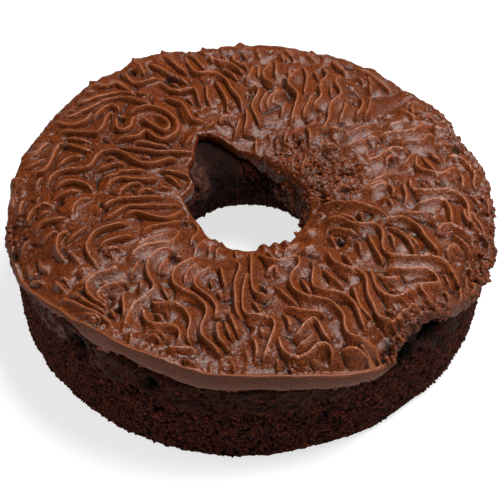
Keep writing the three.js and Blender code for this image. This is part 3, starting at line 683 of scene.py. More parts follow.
SMOOTH_SPOTS = [(42, 8, 97, 12), (162, 8, 86, 10), (188, 8, 82, 12), (213, 3.5, 92, 8),
                (320, 4, 62, 5), (308, 6, 44, 7), (352, 6, 66, 7), (185, 10, 42, 8),
                (208, 7, 48, 7), (130, 10, 96, 8)]
PEAK_GAIN = 3.0
LIP_PEAKS = [(238, 5.0, 31, 3.4), (244.5, 2.6, 31, 2.4), (284, 4.2, 30.0, 3.0),
             (294, 4.4, 30.5, 3.4), (302, 3.4, 32, 3.0)]
RUFFLES = [(266, 7, 107, 6), (252, 9, 111, 4), (284, 8, 111, 4), (240, 8, 110, 4), (300, 9, 108, 6),
           (337, 10, 110, 8), (20, 16, 111, 6), (356, 12, 112, 5), (167, 7, 66, 7), (182, 5, 62, 6),
           (310, 10, 104, 7), (100, 6, 64, 6), (205, 5, 111, 5), (322, 6, 112, 6)]
PITS = [(196.8, 2.0, 116.0, 2.6, 2.4), (304.2, 1.0, 112.0, 6.0, 4.0), (123.2, 1.6, 110.6, 2.6, 3.2), (114.6, 4.0, 94, 1.6, 3.0),
        (139.5, 1.6, 84.5, 3.0, 2.6), (151.8, 0.8, 80.5, 2.4, 3.0), (161.6, 2.0, 115.5, 2.0, 3.0),
        (355.6, 1.6, 108.9, 1.2, 2.6), (359.5, 1.2, 112.2, 3.2, 2.0), (5.5, 5.0, 36, 4.0, 3.4),
        (5.3, 2.0, 49, 5.5, 2.6), (77.7, 1.4, 84.5, 2.0, 2.8), (183.7, 2.2, 90.8, 2.6, 3.6),
        (189.7, 1.2, 70.2, 2.6, 3.0), (232.4, 1.7, 97.2, 3.0, 3.4), (275.3, 1.5, 65.0, 3.6, 3.2),
        (17.7, 1.2, 74, 2.2, 2.0), (58.5, 2.0, 47, 2.0, 2.8), (62, 1.2, 61, 1.6, 2.4),
        (140.3, 2.0, 86.5, 2.0, 3.0),
        (142.5, 3.0, 95, 1.5, 2.2), (143.5, 2.5, 101, 1.2, 1.8), (323, 2.6, 54, 2.6, 3.4),
        (326, 2.2, 60, 2.0, 2.4), (115, 2.6, 97, 3.2, 2.4), 
        (232, 4.2, 56, 3.6, 2.2), (151, 1.5, 82, 1.8, 1.8), (18.5, 1.6, 108, 2.4, 2.2),
        (66.5, 1.6, 99, 2.6, 2.0), (78, 1.2, 88, 2.6, 2.0), (158.5, 2.2, 97.5, 1.8, 2.4),
        (204.5, 3.0, 95, 1.6, 2.0), (188, 2.6, 71.5, 1.5, 2.0), (306, 1.4, 108, 1.4, 1.8),
        (202, 5.0, 34, 2.0, 1.6), (198, 2.6, 55, 3.0, 1.6)]


def torn_share(a, r):
    """Where the frosting is dragged up with crumbs: inner right and the broken rim at the front right."""
    inner = np.exp(-(np.maximum(ang(a, 42), 0) / 34) ** 4) * np.exp(-(np.minimum(ang(a, 42), 0) / 50) ** 4)
    t1 = 0.85 * inner * smooth((63 + 5 * np.sin(np.radians(a) * 5) - r) / 20)
    t2 = np.exp(-(ang(a, 314) / 9) ** 4) * smooth((r - 103) / 8)
    t3 = 0.6 * np.exp(-(ang(a, 338) / 14) ** 4) * smooth((r - 107) / 7)
    t4 = 0.8 * np.exp(-(ang(a, 192) / 8) ** 4) * smooth((r - 101) / 8)
    t5 = 0.40 * np.exp(-(ang(a, 6) / 40) ** 4) * smooth((r - 107) / 6)
    t6 = 0.6 * np.exp(-(ang(a, 305) / 2.5) ** 4) * smooth((r - 107) / 6)
    return np.maximum.reduce([t1, t2, t3, t4, t5, t6])


# ------------------------------------------------------------ frosting layer
def build_frosting():
    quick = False
    cols = 900 if quick else 1500
    top_rows = 120 if quick else 190
    face_rows, lip_rows, under_rows = 20, 18, UNDER_ROWS
    A = np.arange(cols) * 360.0 / cols
    th = np.radians(A)

    ring_pt = np.stack([np.cos(th) * 3, np.sin(th) * 3, np.zeros(cols)], axis=1)
    rough = N1.fbm(ring_pt * 6.0, 4)
    fine = N2.fbm(ring_pt * 16.0, 3)
    gentle = N3.fbm(ring_pt * 2.2, 2)

    low = EDGE_Z + lift(A) + waves(EDGE_WAVES, A) + 0.45 * rough + 0.25 * fine
    torn_rim = np.exp(-(ang(A, 313) / 9.5) ** 6)
    ragged_rim = np.clip(torn_rim + 0.6 * np.exp(-(ang(A, 338) / 13) ** 4) + 0.5 * bump(A, 305.5, 2.0)
                         + 0.6 * np.exp(-(ang(A, 4) / 30) ** 4) + 0.6 * np.exp(-(ang(A, 192) / 8) ** 4), 0, 1)
    low = low + torn_rim * (2.5 + 2.2 * N4.fbm(ring_pt * 14, 3))
    at_front = smooth((A - 196) / 8.0) * smooth((304.5 - A) / 3.0)
    droop = bump(A, 297, 9) * (A < 304.5)
    table_low = np.interp(A, [v[0] for v in FACE_LOW], [v[1] for v in FACE_LOW])
    table_top = np.interp(A, [v[0] for v in FACE_TOP], [v[1] for v in FACE_TOP])
    low = low + (table_low + 0.45 * rough + 0.3 * fine - low) * at_front
    lip = lip_r(A) + 0.3 * N2.fbm(ring_pt * 5.3, 3) + 0.25 * fine
    sag = low - EDGE_Z - 0.7 * lift(A)
    belly = 1.2 + 0.16 * np.maximum(0, -sag) * (1 - at_front) + 2.0 * droop
    around = (A + 90) % 360 - 90
    steps = np.interp(around, [v[0] for v in RIM_STEPS], [v[1] for v in RIM_STEPS], left=0.0, right=0.0)
    rim_out = 2.3 * smooth((np.sin(th) + 0.85) / 0.6) + steps
    back_up = 3.4 * smooth((np.sin(th) + 0.2) / 0.75)
    wall = WALL_TOP_R + wall_wobble(A) + 0.35 * gentle + rim_out
    slab_h = SLAB_H * (1 - 0.35 * ragged_rim) + 0.5 * N3.fbm(ring_pt * 3.1, 2)
    cut_back = torn_rim * (2.6 + 2.0 * N1.fbm(ring_pt * 5, 4)) + 1.2 * (ragged_rim - torn_rim) * N2.fbm(ring_pt * 12, 3)
    rim_r = wall + belly - 1.5 - cut_back          # upper edge of the slab face
    rim_z = low + slab_h + back_up + 0.5 * N2.fbm(ring_pt * 8.0, 2) * smooth(back_up / 2)
    rim_z = rim_z + (table_top + 0.3 * N3.fbm(ring_pt * 5.0, 2) - rim_z) * at_front
    rim_z = np.maximum(rim_z, low + 0.9)

    rows_r, rows_z, rows_kind = [], [], []

    # underside, hole to rim, just above the sponge
    start = lip + 1.2
    edge_r = 108.5 + rim_out - steps
    hang = np.exp(-(ang(A, 14) / 60) ** 6)
    for k in range(under_rows):
        f = k / (under_rows - 1)
        r = start + (edge_r - start) * f
        if k == 0:
            rows_r.append(r + hang * (hole_r(26.0) + 0.5 - r))
            rows_z.append(sponge_top_z(np.minimum(r, SHOULDER_R), A) * (1 - hang) + 27.0 * hang)
            rows_kind.append(np.full(cols, 0.0))
            continue
        rows_r.append(r)
        rows_z.append(sponge_top_z(np.minimum(r, SHOULDER_R), A) + edge_lift(r, A) + 0.25)
        rows_kind.append(np.full(cols, 0.0))
    # slab face, lower edge to upper edge
    low_r = wall + belly - 0.6 - 0.8 * cut_back
    for k in range(face_rows):
        f = k / (face_rows - 1)
        r = low_r + (rim_r - low_r) * f + 0.55 * math.sin(math.pi * f) - 0.9 * (1 - f) ** 6
        z = low + (rim_z - low) * f + 0.0 * f
        rows_r.append(r + 0.0)
        rows_z.append(z)
        rows_kind.append(np.full(cols, 1.0))
    # top, rim to hole
    inner_end = lip + 2.4
    for k in range(1, top_rows + 1):
        f = k / top_rows
        r = rim_r + (inner_end - rim_r) * f
        rows_r.append(r)
        rows_z.append(frost_top_z(r))
        rows_kind.append(np.full(cols, 2.0))
    # lip, over the edge and down into the hole
    top_z = frost_top_z(inner_end)
    end_z = np.maximum(sponge_top_z(start, A) + 0.25, top_z - 7.0)
    # at the back right the torn frosting hangs down the wall of the hole
    skirt = hang
    end_z = end_z + skirt * (26.0 + 4.0 * N3.fbm(ring_pt * 4.0, 3) - end_z)
    for k in range(1, lip_rows + 1):
        f = k / (lip_rows + 1)
        turn = f * math.pi * 0.62
        bulge = np.sin(turn) ** 0.9
        r = inner_end - 3.6 * bulge + 1.3 * f
        r = r + skirt * (np.minimum(hole_r(top_z + (end_z - top_z) * f) - 1.4, inner_end - 2.0) + (inner_end - 2.0 - r) * (1 - f) - r) * smooth(f * 2.5)
        z = top_z + (end_z - top_z) * (1 - np.cos(turn)) / (1 - math.cos(math.pi * 0.62))
        rows_r.append(r)
        rows_z.append(z)
        rows_kind.append(np.full(cols, 3.0))

    R = np.array(rows_r).T        # columns x rows
    Z = np.array(rows_z).T
    K = np.array(rows_kind).T
    n_rows = R.shape[1]
    Aall = np.repeat(A[:, None], n_rows, axis=1)
    TH = np.radians(Aall)
    r, z, kind, a, t = (v.ravel() for v in (R, Z, K, Aall, TH))
    x, y = r * np.cos(t), r * np.sin(t)
    shape = R.shape

    # macro shape of the top: the rim follows the slab's upper edge
    is_top = kind >= 2
    rim_z_all = np.repeat(rim_z[:, None], n_rows, axis=1).ravel()
    rim_r_all = np.repeat(rim_r[:, None], n_rows, axis=1).ravel()
    lip_all = np.repeat(lip[:, None], n_rows, axis=1).ravel()
    rise = rim_z_all - frost_top_z(rim_r_all)
    span = 20.0 - 9.0 * np.repeat(droop[:, None], n_rows, axis=1).ravel()
    z = z + np.where(is_top, (rise + 0.1) * smooth(1 - (rim_r_all - r) / span), 0)

    top = np.nonzero(kind >= 2)[0]
    xt, yt, rt, at = x[top], y[top], r[top], a[top]
    P = np.stack([xt, yt, np.zeros(len(xt))], axis=1)
    # the hand is never steady: bend the plan a little before reading the ridges
    wx = 0.9 * N1.noise(P / 13.0) + 0.35 * N2.noise(P / 5.0)
    wy = 0.9 * N3.noise(P / 13.0 + 40) + 0.35 * N4.noise(P / 5.0 + 9)
    face = np.nonzero(kind == 1)[0]
    front_all = np.repeat(at_front[:, None], n_rows, axis=1).ravel()
    rag_all = np.repeat(ragged_rim[:, None], n_rows, axis=1).ravel()
    low_all = np.repeat(low[:, None], n_rows, axis=1).ravel()
    up_face = clamp01((z[face] - low_all[face]) / (rim_z_all[face] - low_all[face] + 1e-6))
    rolled = rim_r_all[face] - 3.2 + 0.4 * (rim_z_all[face] - z[face])      # the strokes carry on over the rim
    xf, yf = rolled * np.cos(t[face]), rolled * np.sin(t[face])
    cover, second, lean, crest = comb_field(np.concatenate([xt + 0.3 * wx, xf]), np.concatenate([yt + 0.3 * wy, yf]))
    n_top = len(top)
    cover_f, crest_highlight_f = cover[n_top:], crest[n_top:]
    cover, second, lean, crest = cover[:n_top], second[:n_top], lean[:n_top], crest[:n_top]
    crease_top = np.exp(-((cover - second) / 0.08) ** 2) * smooth((second - 0.03) / 0.12) * smooth((0.85 - second) / 0.25)
    flat = spots(SMOOTH_SPOTS, at, rt)
    flat = np.maximum(flat, 0)
    torn = torn_share(at, rt)
    open_rim = smooth((np.sin(np.radians(at)) + 0.25) / 0.4)      # at the sides and back the strokes run over the rim
    near_rim = smooth((rim_r_all[top] - rt + 2.6 * open_rim) / 2.6)
    near_lip = smooth((rt - lip_all[top] + 1.0) / 9.0)
    edge_soft = 1 - 0.80 * open_rim * np.exp(-((rim_r_all[top] - rt) / 6.5) ** 2)
    ends = near_rim * (0.35 + 0.65 * near_lip) * edge_soft
    lively = 1 + 0.22 * N2.noise(P / 17.0) + 0.12 * N3.noise(P / 7.0)
    depth = RIDGE_H * lively * (1 - 0.35 * flat) * (1 - 0.15 * torn)
    floor_wave = 0.55 * N4.fbm(P / 19.0, 2) + 0.18 * N1.noise(P / 4.5)
    h = -0.48 * depth + depth * cover + floor_wave
    h -= CREASE_MM * crease_top * (1 - torn)
    h = h * ends
    h = np.where(h > 0, h * (1 - 0.35 * open_rim * smooth((rt - 98) / 8)), h)
    h = np.where(h > 0.8, 0.8 + (h - 0.8) * (1 - 0.85 * open_rim * smooth((rt - 99) / 6)), h)
    pit = np.zeros(len(top))
    for pa, half, pr, dr, deep in PITS:
        edge = 0.42 * N2.noise(P / 1.9)
        q = np.sqrt((ang(at, pa) / (0.62 * half)) ** 2 + ((rt - pr) / (0.62 * dr)) ** 2) + edge
        pit = np.maximum(pit, deep * smooth(1.55 - q))
    h -= pit
    # torn, crumb-laden frosting: lumps with cracks between them
    drag = np.stack([xt * 0.55 + yt * 0.45, yt - 0.2 * xt, 0 * xt], axis=1)      # torn along the stroke
    d1, d2, own = N2.cells(drag / 4.4 + 0.9 * np.stack([wx, wy, wx], axis=1) + 0.35 * N3.fbm(P / 2.0, 2)[:, None])
    gap = smooth((N4.fbm(drag / 5.2 + 3, 3) - 0.26) / 0.26)
    lumps = 1.3 * (0.6 - d1) + 1.0 * (own - 0.5) + 0.9 * (0.5 - np.abs(N1.fbm(drag / 4.6, 3)) * 2.2) \
        + 0.4 * N3.fbm(P / 1.6, 2) - 2.0 * gap
    cracked = torn * gap
    h += torn * (1.05 * lumps + 1.1 * N1.fbm(P / 6.5, 3)) * smooth((rt - lip_all[top] + 3) / 5)
    # broken-up frosting just inside the rim at the front
    ruffle = spots(RUFFLES, at, rt)
    h += ruffle * (0.9 * N2.fbm(P / 2.6, 3) + 0.8 * (0.4 - np.abs(N3.fbm(drag / 4.0, 2)) * 2))
    # fine skin of the frosting: faint drag lines and small dimples
    h += 0.05 * N3.fbm(P / 1.6, 2)
    z[top] += h
    z[top] = np.maximum(z[top], sponge_top_z(np.clip(rt, 30.6, 109.8), at) + edge_lift(np.minimum(rt, 109.8), at)
                        + np.where((rt < lip_all[top] + 2.0) | (rt > 111), -20, 0.8))
    shiftx = lean * (LEAN_MM * ends * (1 - 0.7 * flat) * (1 - torn))[:, None]
    x[top] += shiftx[:, 0]
    y[top] += shiftx[:, 1]

    hung = np.nonzero(kind == 3)[0]
    Ph = np.stack([x[hung], y[hung], z[hung]], axis=1)
    on_skirt = np.exp(-(ang(a[hung], 14) / 61) ** 6) * smooth((52 - z[hung]) / 6)
    q1, q2, qo = N4.cells(Ph / 5.2)
    push = on_skirt * (2.4 * (0.7 - q1) + 1.8 * (qo - 0.5) + 1.2 * N2.fbm(Ph / 2.8, 3))
    x[hung] -= np.cos(t[hung]) * push
    y[hung] -= np.sin(t[hung]) * push
    z[top] += PEAK_GAIN * spots(LIP_PEAKS, at, rt)
    # slab face: knife drag lines, soft dents, torn end
    Pf = np.stack([np.cos(t[face]) * 115, np.sin(t[face]) * 115, z[face]], axis=1)
    over = (1 - front_all[face]) * (1 - 0.6 * rag_all[face]) * smooth((np.sin(t[face]) + 0.25) / 0.4)
    swell = over * (1.9 * (cover_f - 0.35) + 0.9 * N1.fbm(Pf / 6.5, 3)) * (0.35 + 0.65 * up_face)
    z[face] += 0.5 * over * up_face ** 3 * RIDGE_H * (cover_f - 0.48)
    k1, k2, ko = N3.cells(Pf / 3.1)
    drag = 0.10 * N1.noise(Pf * np.array([0.08, 0.08, 1.1])) + 0.28 * N3.fbm(Pf / 15.0, 2)
    rag = np.repeat(ragged_rim[:, None], n_rows, axis=1).ravel()[face]
    drag = drag * (1 - rag) + rag * (1.0 * N2.fbm(Pf / 3.2, 3) + 1.7 * (0.6 - k1) + 1.1 * (ko - 0.5)) + swell
    f_in = (r[face] + drag) / r[face]
    x[face] *= f_in
    y[face] *= f_in

    verts = np.stack([x, y, z], axis=1)
    quads = ring_faces(cols, n_rows)
    if volume_sign(verts, quads) < 0:
        quads = quads[:, ::-1]
    # painted highlight: the crest mask lays a lighter colour along the ridge crests, also where they run over the slab
    # face
    crest_highlight_all = np.zeros(len(x))
    crest_highlight_all[top] = crest * ends * (1 - 0.5 * flat)
    crest_highlight_all[face] = 0.8 * crest_highlight_f * over * up_face
    torn_all = np.zeros(len(x))
    torn_all[top] = torn
    torn_all[face] = rag
    torn_all[hung] = np.maximum(torn_all[hung], on_skirt)
    # painted shade: the crease mask darkens the colour along the creases between neighbouring ridges
    crease_shade_all = np.zeros(len(x))
    crease_shade_all[top] = crease_top * ends
    cover_all = np.full(len(x), 0.5)
    cover_all[top] = cover
    # the slab mask gives the slab face and the skirt hung in the hole a rougher finish and a darker colour; the darker
    # colour is painted shade
    slab = (kind == 1).astype(float)
    slab[hung] = on_skirt
    # the pit mask makes the dents rougher and darkens their colour; the darker colour is painted shade
    pit_shade_all = np.zeros(len(x))
    pit_shade_all[top] = clamp01(pit / 2.0)
    # painted shade: darker colour in the cracks between the torn lumps and over the skirt hung in the hole
    crack_shade = np.zeros(len(x))
    crack_shade[top] = 0.8 * cracked
    crack_shade[hung] = np.maximum(crack_shade[hung], on_skirt * (0.25 + 0.7 * smooth((N1.fbm(Ph / 3.6, 3) - 0.05) / 0.3)))
    # painted highlight: a thin bright line along the slab's upper edge at the front
    rim_row = UNDER_ROWS + face_rows
    line = np.zeros(shape)
    line[:, rim_row - 1] = line[:, rim_row] = 0.9
    line[:, rim_row + 1] = 0.5
    crest_highlight_all = np.maximum(crest_highlight_all, (line * at_front[:, None]).ravel())
    obj = mesh_object("frosting_combed", verts, quads, True, {
        "crest": crest_highlight_all, "torn": torn_all, "cover": cover_all, "slab": slab,
        "pit": pit_shade_all, "crack_shade": crack_shade, "crease_shade": crease_shade_all})
    # where crumbs are caught: the dragged patch, the broken rim and the wall of the hole
    caught = torn_all ** 1.5 * (0.25 + crack_shade) * (kind >= 1)
    caught[top] *= 0.12 + 1.3 * smooth((N3.fbm(P / 7.0 + 11, 3) + 0.02) / 0.35)
    caught = np.where(kind == 1, caught * 1.6 * (low_all < 50), caught)
    caught[face] = np.maximum(caught[face], 0.42 * front_all[face] * (up_face < 0.10) * smooth((N2.fbm(Pf / 12.0, 2) + 0.1) / 0.3))
    some = np.nonzero(caught > 0.08)[0]
    torn_points = (np.stack([x, y, z], axis=1)[some], caught[some])
    return thin_out(obj, 120000 if quick else 194000), torn_points


# -------------------------------------------------------------- sponge ring
SKIN_TOP_BAND = [(238, 9, 1.0), (258, 16, 1.0), (282, 16, 1.0), (212, 10, 0.8), (331, 9, 0.9),
                 (20, 24, 0.9), (70, 24, 0.8), (120, 26, 0.9), (170, 20, 0.8)]


def slump(a, z):
    """The wall stands back a little near the foot at the front right."""
    back = 2.2 * np.exp(-(ang(a, 300) / 18) ** 4) + 0.5 * np.exp(-(ang(a, 230) / 22) ** 4)
    out = np.interp(np.asarray(a) % 360.0, [v[0] for v in FOOT_STEPS], [v[1] for v in FOOT_STEPS], left=0.0)
    return (back - out) * (1 - smooth((z - 26) / 18.0))


def build_sponge():
    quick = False
    cols = 520 if quick else 1100
    A = np.arange(cols) * 360.0 / cols
    th = np.radians(A)
    ring_pt = np.stack([np.cos(th) * 3, np.sin(th) * 3, np.zeros(cols)], axis=1)
    lifted = lift(A)
    wob = wall_wobble(A)
    corner = WALL_TOP_Z + lifted + 1.3 * edge_lift(np.full(cols, 110.0), A)

    rr, zz, kk = [], [], []

    def add(r, z, k):
        rr.append(np.broadcast_to(r, (cols,)).astype(float))
        zz.append(np.broadcast_to(z, (cols,)).astype(float))
        kk.append(np.full(cols, float(k)))

    # foot, hole to rim
    for f in (0.0, 0.35, 0.7, 1.0):
        add(FOOT_HOLE_R + (FOOT_R - FOOT_HOLE_R) * f + (0.6 * wob - slump(A, 0.0)) * f, 0.0, 0)
    # outer wall
    wall_rows = 40 if quick else 66
    for k in range(1, wall_rows + 1):
        f = k / wall_rows
        z = corner * f
        r = np.where(z < HEEL_H, FOOT_R + (WALL_LOW_R - FOOT_R) * np.sqrt(clamp01(z / HEEL_H)),
                     WALL_LOW_R + (WALL_TOP_R - WALL_LOW_R) * (z - HEEL_H) / (corner - HEEL_H))
        r = r - slump(A, z)
        add(r + wob, z, 1)
    # shoulder and top under the frosting
    for f in (0.25, 0.5, 0.75, 1.0):
        add(WALL_TOP_R + (SHOULDER_R - WALL_TOP_R) * f + wob * (1 - 0.3 * f),
            corner + (SHOULDER_Z + lifted + edge_lift(np.full(cols, 109.8), A) - corner) * f - 0.3 * f, 1)
    for r in (97, 84, 72, 62, 57, 53.5, 50, 47, 44, 41.5, 39, 37, 35.2, 33.4, 32.2, 31.4):
        add(r, sponge_top_z(np.full(cols, float(r)), A) - 0.3, 2 if r > 58 else 3)
    # wall of the hole, top to foot
    hole_rows = 26 if quick else 36
    for k in range(hole_rows + 1):
        f = k / hole_rows
        z = HOLE_TOP_Z * (1 - f)
        if k == hole_rows:
            continue
        add(hole_r(z) + 0.4 * np.sin(4 * th + 0.5) * (z < 40) * (z > 8), z, 4)

    R, Z, K = (np.array(v).T for v in (rr, zz, kk))
    n_rows = R.shape[1]
    a = np.repeat(A[:, None], n_rows, axis=1).ravel()
    t = np.radians(a)
    r, z, kind = R.ravel(), Z.ravel(), K.ravel()
    P = np.stack([r * np.cos(t), r * np.sin(t), z], axis=1)

    # outward direction of the section at every point
    dr = np.gradient(R, axis=1)
    dz = np.gradient(Z, axis=1)
    ln = np.hypot(dr, dz) + 1e-9
    nr, nz = (dz / ln).ravel(), (-dr / ln).ravel()

    # open crumb: clumps of grains with holes between them
    warp = np.stack([N1.noise(P / 4.0), N2.noise(P / 4.0 + 7), N3.noise(P / 4.0 + 13)], axis=1)
    d1, d2, own = N1.cells(P / 2.1 + 0.30 * warp)
    e1, e2, own2 = N3.cells(P / 1.15 + 0.2 * warp)
    grain = 0.95 * (0.55 - d1) + 0.8 * (own - 0.5) + 0.5 * (0.5 - e1) + 0.5 * (own2 - 0.5)
    voids = smooth((N2.fbm(P / 2.6 + 5, 3) - 0.30) / 0.5)
    big = 0.55 * N4.fbm(P / 14.0, 3)

    # the baked skin is left on in patches under the frosting
    skin_edge = 31.5 + 2.2 * N1.fbm(P / 9.0, 3) + 1.0 * N2.fbm(P / 2.6, 2) \
        + 8 * bump(a, 208, 20) + 5.5 * bump(a, 243, 6) + 16 * bump(a, 309, 7) - 9 * bump(a, 325, 5) + 6 * bump(a, 295, 9) + 7 * bump(a, 226, 5)
    patch = smooth((z - skin_edge) / 1.6)
    broken = smooth((N3.fbm(P / 6.0 + 31, 3) + 0.02) / 0.22)
    hole_gap = np.maximum.reduce([bump(a, 247.5, 1.6) * np.exp(-((z - 43) / 4.0) ** 2),
                                  bump(a, 227, 2.6) * np.exp(-((z - 45) / 5.0) ** 2),
                                  bump(a, 308.5, 3.6) * np.exp(-((z - 44) / 5.0) ** 2),
                                  bump(a, 317, 4.2) * np.exp(-((z - 47) / 4.5) ** 2)])
    notch_wall = np.exp(-(ang(a, 118) / 22) ** 4) * (kind >= 3) * smooth((z - 30) / 10)
    skin = np.where(kind <= 2, patch * (1 - 0.8 * broken) * (z < 53), 0.0)
    skin = np.maximum(skin, 0.75 * notch_wall)
    skin = skin * (1 - clamp01(hole_gap * 1.4))
    skin = np.where(kind == 0, 0, skin)

    # painted sheen: a lighter, speckled skin colour on a patch of the hole's left wall and on the skin at the front
    # left; the same mask also lowers the roughness
    baked = np.maximum(bump(a, 134, 7) * smooth((z - 35.5) / 4) * (kind >= 3),
                       0.75 * skin * np.maximum.reduce([bump(a, 221, 14), bump(a, 309, 4)]) * (kind == 1))
    rough = np.where(kind == 0, 0.0, 1.0) * np.where(kind == 2, 0.0, 1.0)
    step_z = smooth(z / 1.5)
    crumbly = (1.25 * grain - 1.9 * voids + big) * (1 - skin) + skin * (0.9 * N3.fbm(P / 2.4, 3) + 0.7 * big + 0.3)
    push = rough * step_z * crumbly - 4.2 * hole_gap * (kind == 1)
    # keep clear of the frosting above the shoulder
    push = np.where((kind == 1) & (z > corner.repeat(n_rows) - 0.5), np.minimum(push, 0.2), push)
    push = np.where(kind == 3, np.minimum(push, 0.2), push)
    rn = r + nr * push
    zn = np.where(kind == 0, 0.0, np.maximum(z + nz * push, 0.0))
    verts = np.stack([rn * np.cos(t), rn * np.sin(t), zn], axis=1)
    quads = ring_faces(cols, n_rows)
    if volume_sign(verts, quads) < 0:
        quads = quads[:, ::-1]
    # hollow: painted shade, near black, in the gaps under the frosting, on the notch wall and over the whole wall of
    # the hole
    # void: painted shade, a near-black colour in the holes and between the grains of the crumb
    obj = mesh_object("sponge_crumb", verts, quads, True, {
        "skin": skin, "void_shade": clamp01(voids + (0.2 - grain) * 0.8), "grain": own2, "baked": clamp01(baked),
        "hollow_shade": np.maximum.reduce([clamp01(hole_gap * 1.6), 0.72 * notch_wall * (1 - 0.9 * clamp01(baked)), 0.55 * (kind == 4)])})
    return thin_out(obj, 120000 if quick else 194000)


# -------------------------------------------------------------- loose crumbs
def lumps_mesh(name, C, S, g, rounded=False):
    """Uneven little lumps at points C with sizes S, one joined mesh."""
    phi = (1 + 5 ** 0.5) / 2
    ico = np.array([[-1, phi, 0], [1, phi, 0], [-1, -phi, 0], [1, -phi, 0], [0, -1, phi], [0, 1, phi],
                    [0, -1, -phi], [0, 1, -phi], [phi, 0, -1], [phi, 0, 1], [-phi, 0, -1], [-phi, 0, 1]])
    ico = ico / np.linalg.norm(ico[0])
    tri = np.array([[0, 11, 5], [0, 5, 1], [0, 1, 7], [0, 7, 10], [0, 10, 11], [1, 5, 9], [5, 11, 4],
                    [11, 10, 2], [10, 7, 6], [7, 1, 8], [3, 9, 4], [3, 4, 2], [3, 2, 6], [3, 6, 8],
                    [3, 8, 9], [4, 9, 5], [2, 4, 11], [6, 2, 10], [8, 6, 7], [9, 8, 1]])
    C[:, 2] = np.maximum(C[:, 2], S * 1.05)
    n = len(C)
    stretch = g.uniform(0.65, 1.35, (n, 1, 3))
    bumpy = g.uniform(0.72, 1.25, (n, 12, 1))
    axis = g.normal(size=(n, 3))
    axis /= np.linalg.norm(axis, axis=1)[:, None]
    w = g.rand(n) * TAU
    K = np.zeros((n, 3, 3))
    K[:, 0, 1], K[:, 0, 2], K[:, 1, 0] = -axis[:, 2], axis[:, 1], axis[:, 2]
    K[:, 1, 2], K[:, 2, 0], K[:, 2, 1] = -axis[:, 0], -axis[:, 1], axis[:, 0]
    rot = np.eye(3) + np.sin(w)[:, None, None] * K + (1 - np.cos(w))[:, None, None] * (K @ K)
    V = (ico[None] * bumpy * stretch) @ rot.transpose(0, 2, 1)
    V = V * S[:, None, None] * 0.8 + C[:, None, :]
    V[..., 2] = np.maximum(V[..., 2], 0.02)
    F = tri[None] + 12 * np.arange(n)[:, None, None]
    shade = np.repeat(g.rand(n), 12)
    return mesh_object(name, V.reshape(-1, 3), F.reshape(-1, 3), rounded, {"shade": shade})


def build_torn_crumbs(points, share):
    """Crumbs caught in the frosting where it was dragged or broken off."""
    g = np.random.RandomState(8)
    pick = g.choice(len(points), size=min(len(points), 1700), replace=False, p=share / share.sum())
    C = points[pick] + g.normal(0, 0.18, (len(pick), 3))
    S = np.clip(g.gamma(2.4, 0.32, len(pick)) + 0.25, 0.35, 2.2)
    out = C[:, :2] / np.linalg.norm(C[:, :2], axis=1)[:, None]
    at_face = smooth((np.linalg.norm(C[:, :2], axis=1) - 110) / 4)
    C[:, :2] -= out * (0.35 * S * at_face)[:, None]          # sunk into the frosting
    C[:, 2] -= 0.40 * S * (1 - at_face)
    return lumps_mesh("frosting_crumbs", C, S, g, True)


def build_crumbs():
    """Small broken grains standing on the cut and torn faces."""
    g = np.random.RandomState(5)
    places, sizes = [], []
    n_wall = 3600
    a = g.rand(n_wall) * 360
    z = g.rand(n_wall) ** 0.9 * 44 + 0.9
    corner = WALL_TOP_Z + lift(a)
    keep = z < 30 + 3 * np.sin(np.radians(a) * 7)
    keep |= g.rand(n_wall) < 0.22
    a, z, corner = a[keep], z[keep], corner[keep]
    r = WALL_LOW_R + (WALL_TOP_R - WALL_LOW_R) * (z - HEEL_H) / (corner - HEEL_H) + wall_wobble(a)
    r = r - np.where(z < HEEL_H, 1.0 * (1 - z / HEEL_H), 0) - slump(a, z) + g.normal(0.05, 0.22, len(z))
    t = np.radians(a)
    places.append(np.stack([r * np.cos(t), r * np.sin(t), z], axis=1))
    sizes.append(g.gamma(4.0, 0.11, len(z)) + 0.22)
    n_hole = 900
    a = g.rand(n_hole) * 360
    z = g.rand(n_hole) * 24 + 17.5
    r = hole_r(z) + g.normal(0.1, 0.2, n_hole)
    t = np.radians(a)
    places.append(np.stack([r * np.cos(t), r * np.sin(t), z], axis=1))
    sizes.append(g.gamma(4.0, 0.10, n_hole) + 0.2)
    return lumps_mesh("sponge_crumbs", np.concatenate(places), np.concatenate(sizes), g)


# ------------------------------------------------------------------ materials
def new_material(name):
    mat = bpy.data.materials.new(name)
    mat.use_nodes = True
    nt = mat.node_tree
    nt.nodes.clear()
    out = nt.nodes.new("ShaderNodeOutputMaterial")
    bsdf = nt.nodes.new("ShaderNodeBsdfPrincipled")
    nt.links.new(bsdf.outputs[0], out.inputs[0])
    return mat, nt, bsdf


def linear(r, g, b):
    def one(v):
        v /= 255.0
        return v / 12.92 if v <= 0.04045 else ((v + 0.055) / 1.055) ** 2.4
    return (one(r), one(g), one(b), 1.0)


def attr(nt, name):
    n = nt.nodes.new("ShaderNodeAttribute")
    n.attribute_name = name
    return n.outputs["Fac"]


def mix(nt, fac, a, b, kind="MIX"):
    n = nt.nodes.new("ShaderNodeMix")
    n.data_type = "RGBA"
    n.blend_type = kind
    for sock, v in ((n.inputs[0], fac), (n.inputs[6], a), (n.inputs[7], b)):
        if hasattr(v, "is_linked"):
            nt.links.new(v, sock)
        else:
            sock.default_value = v
    return n.outputs[2]


def calc(nt, op, a, b=None, c=None, clamp=False):
    n = nt.nodes.new("ShaderNodeMath")
    n.operation = op
    n.use_clamp = clamp
    for k, v in enumerate((a, b, c)):
        if v is None:
            continue
        if hasattr(v, "is_linked"):
            nt.links.new(v, n.inputs[k])
        else:
            n.inputs[k].default_value = v
    return n.outputs[0]


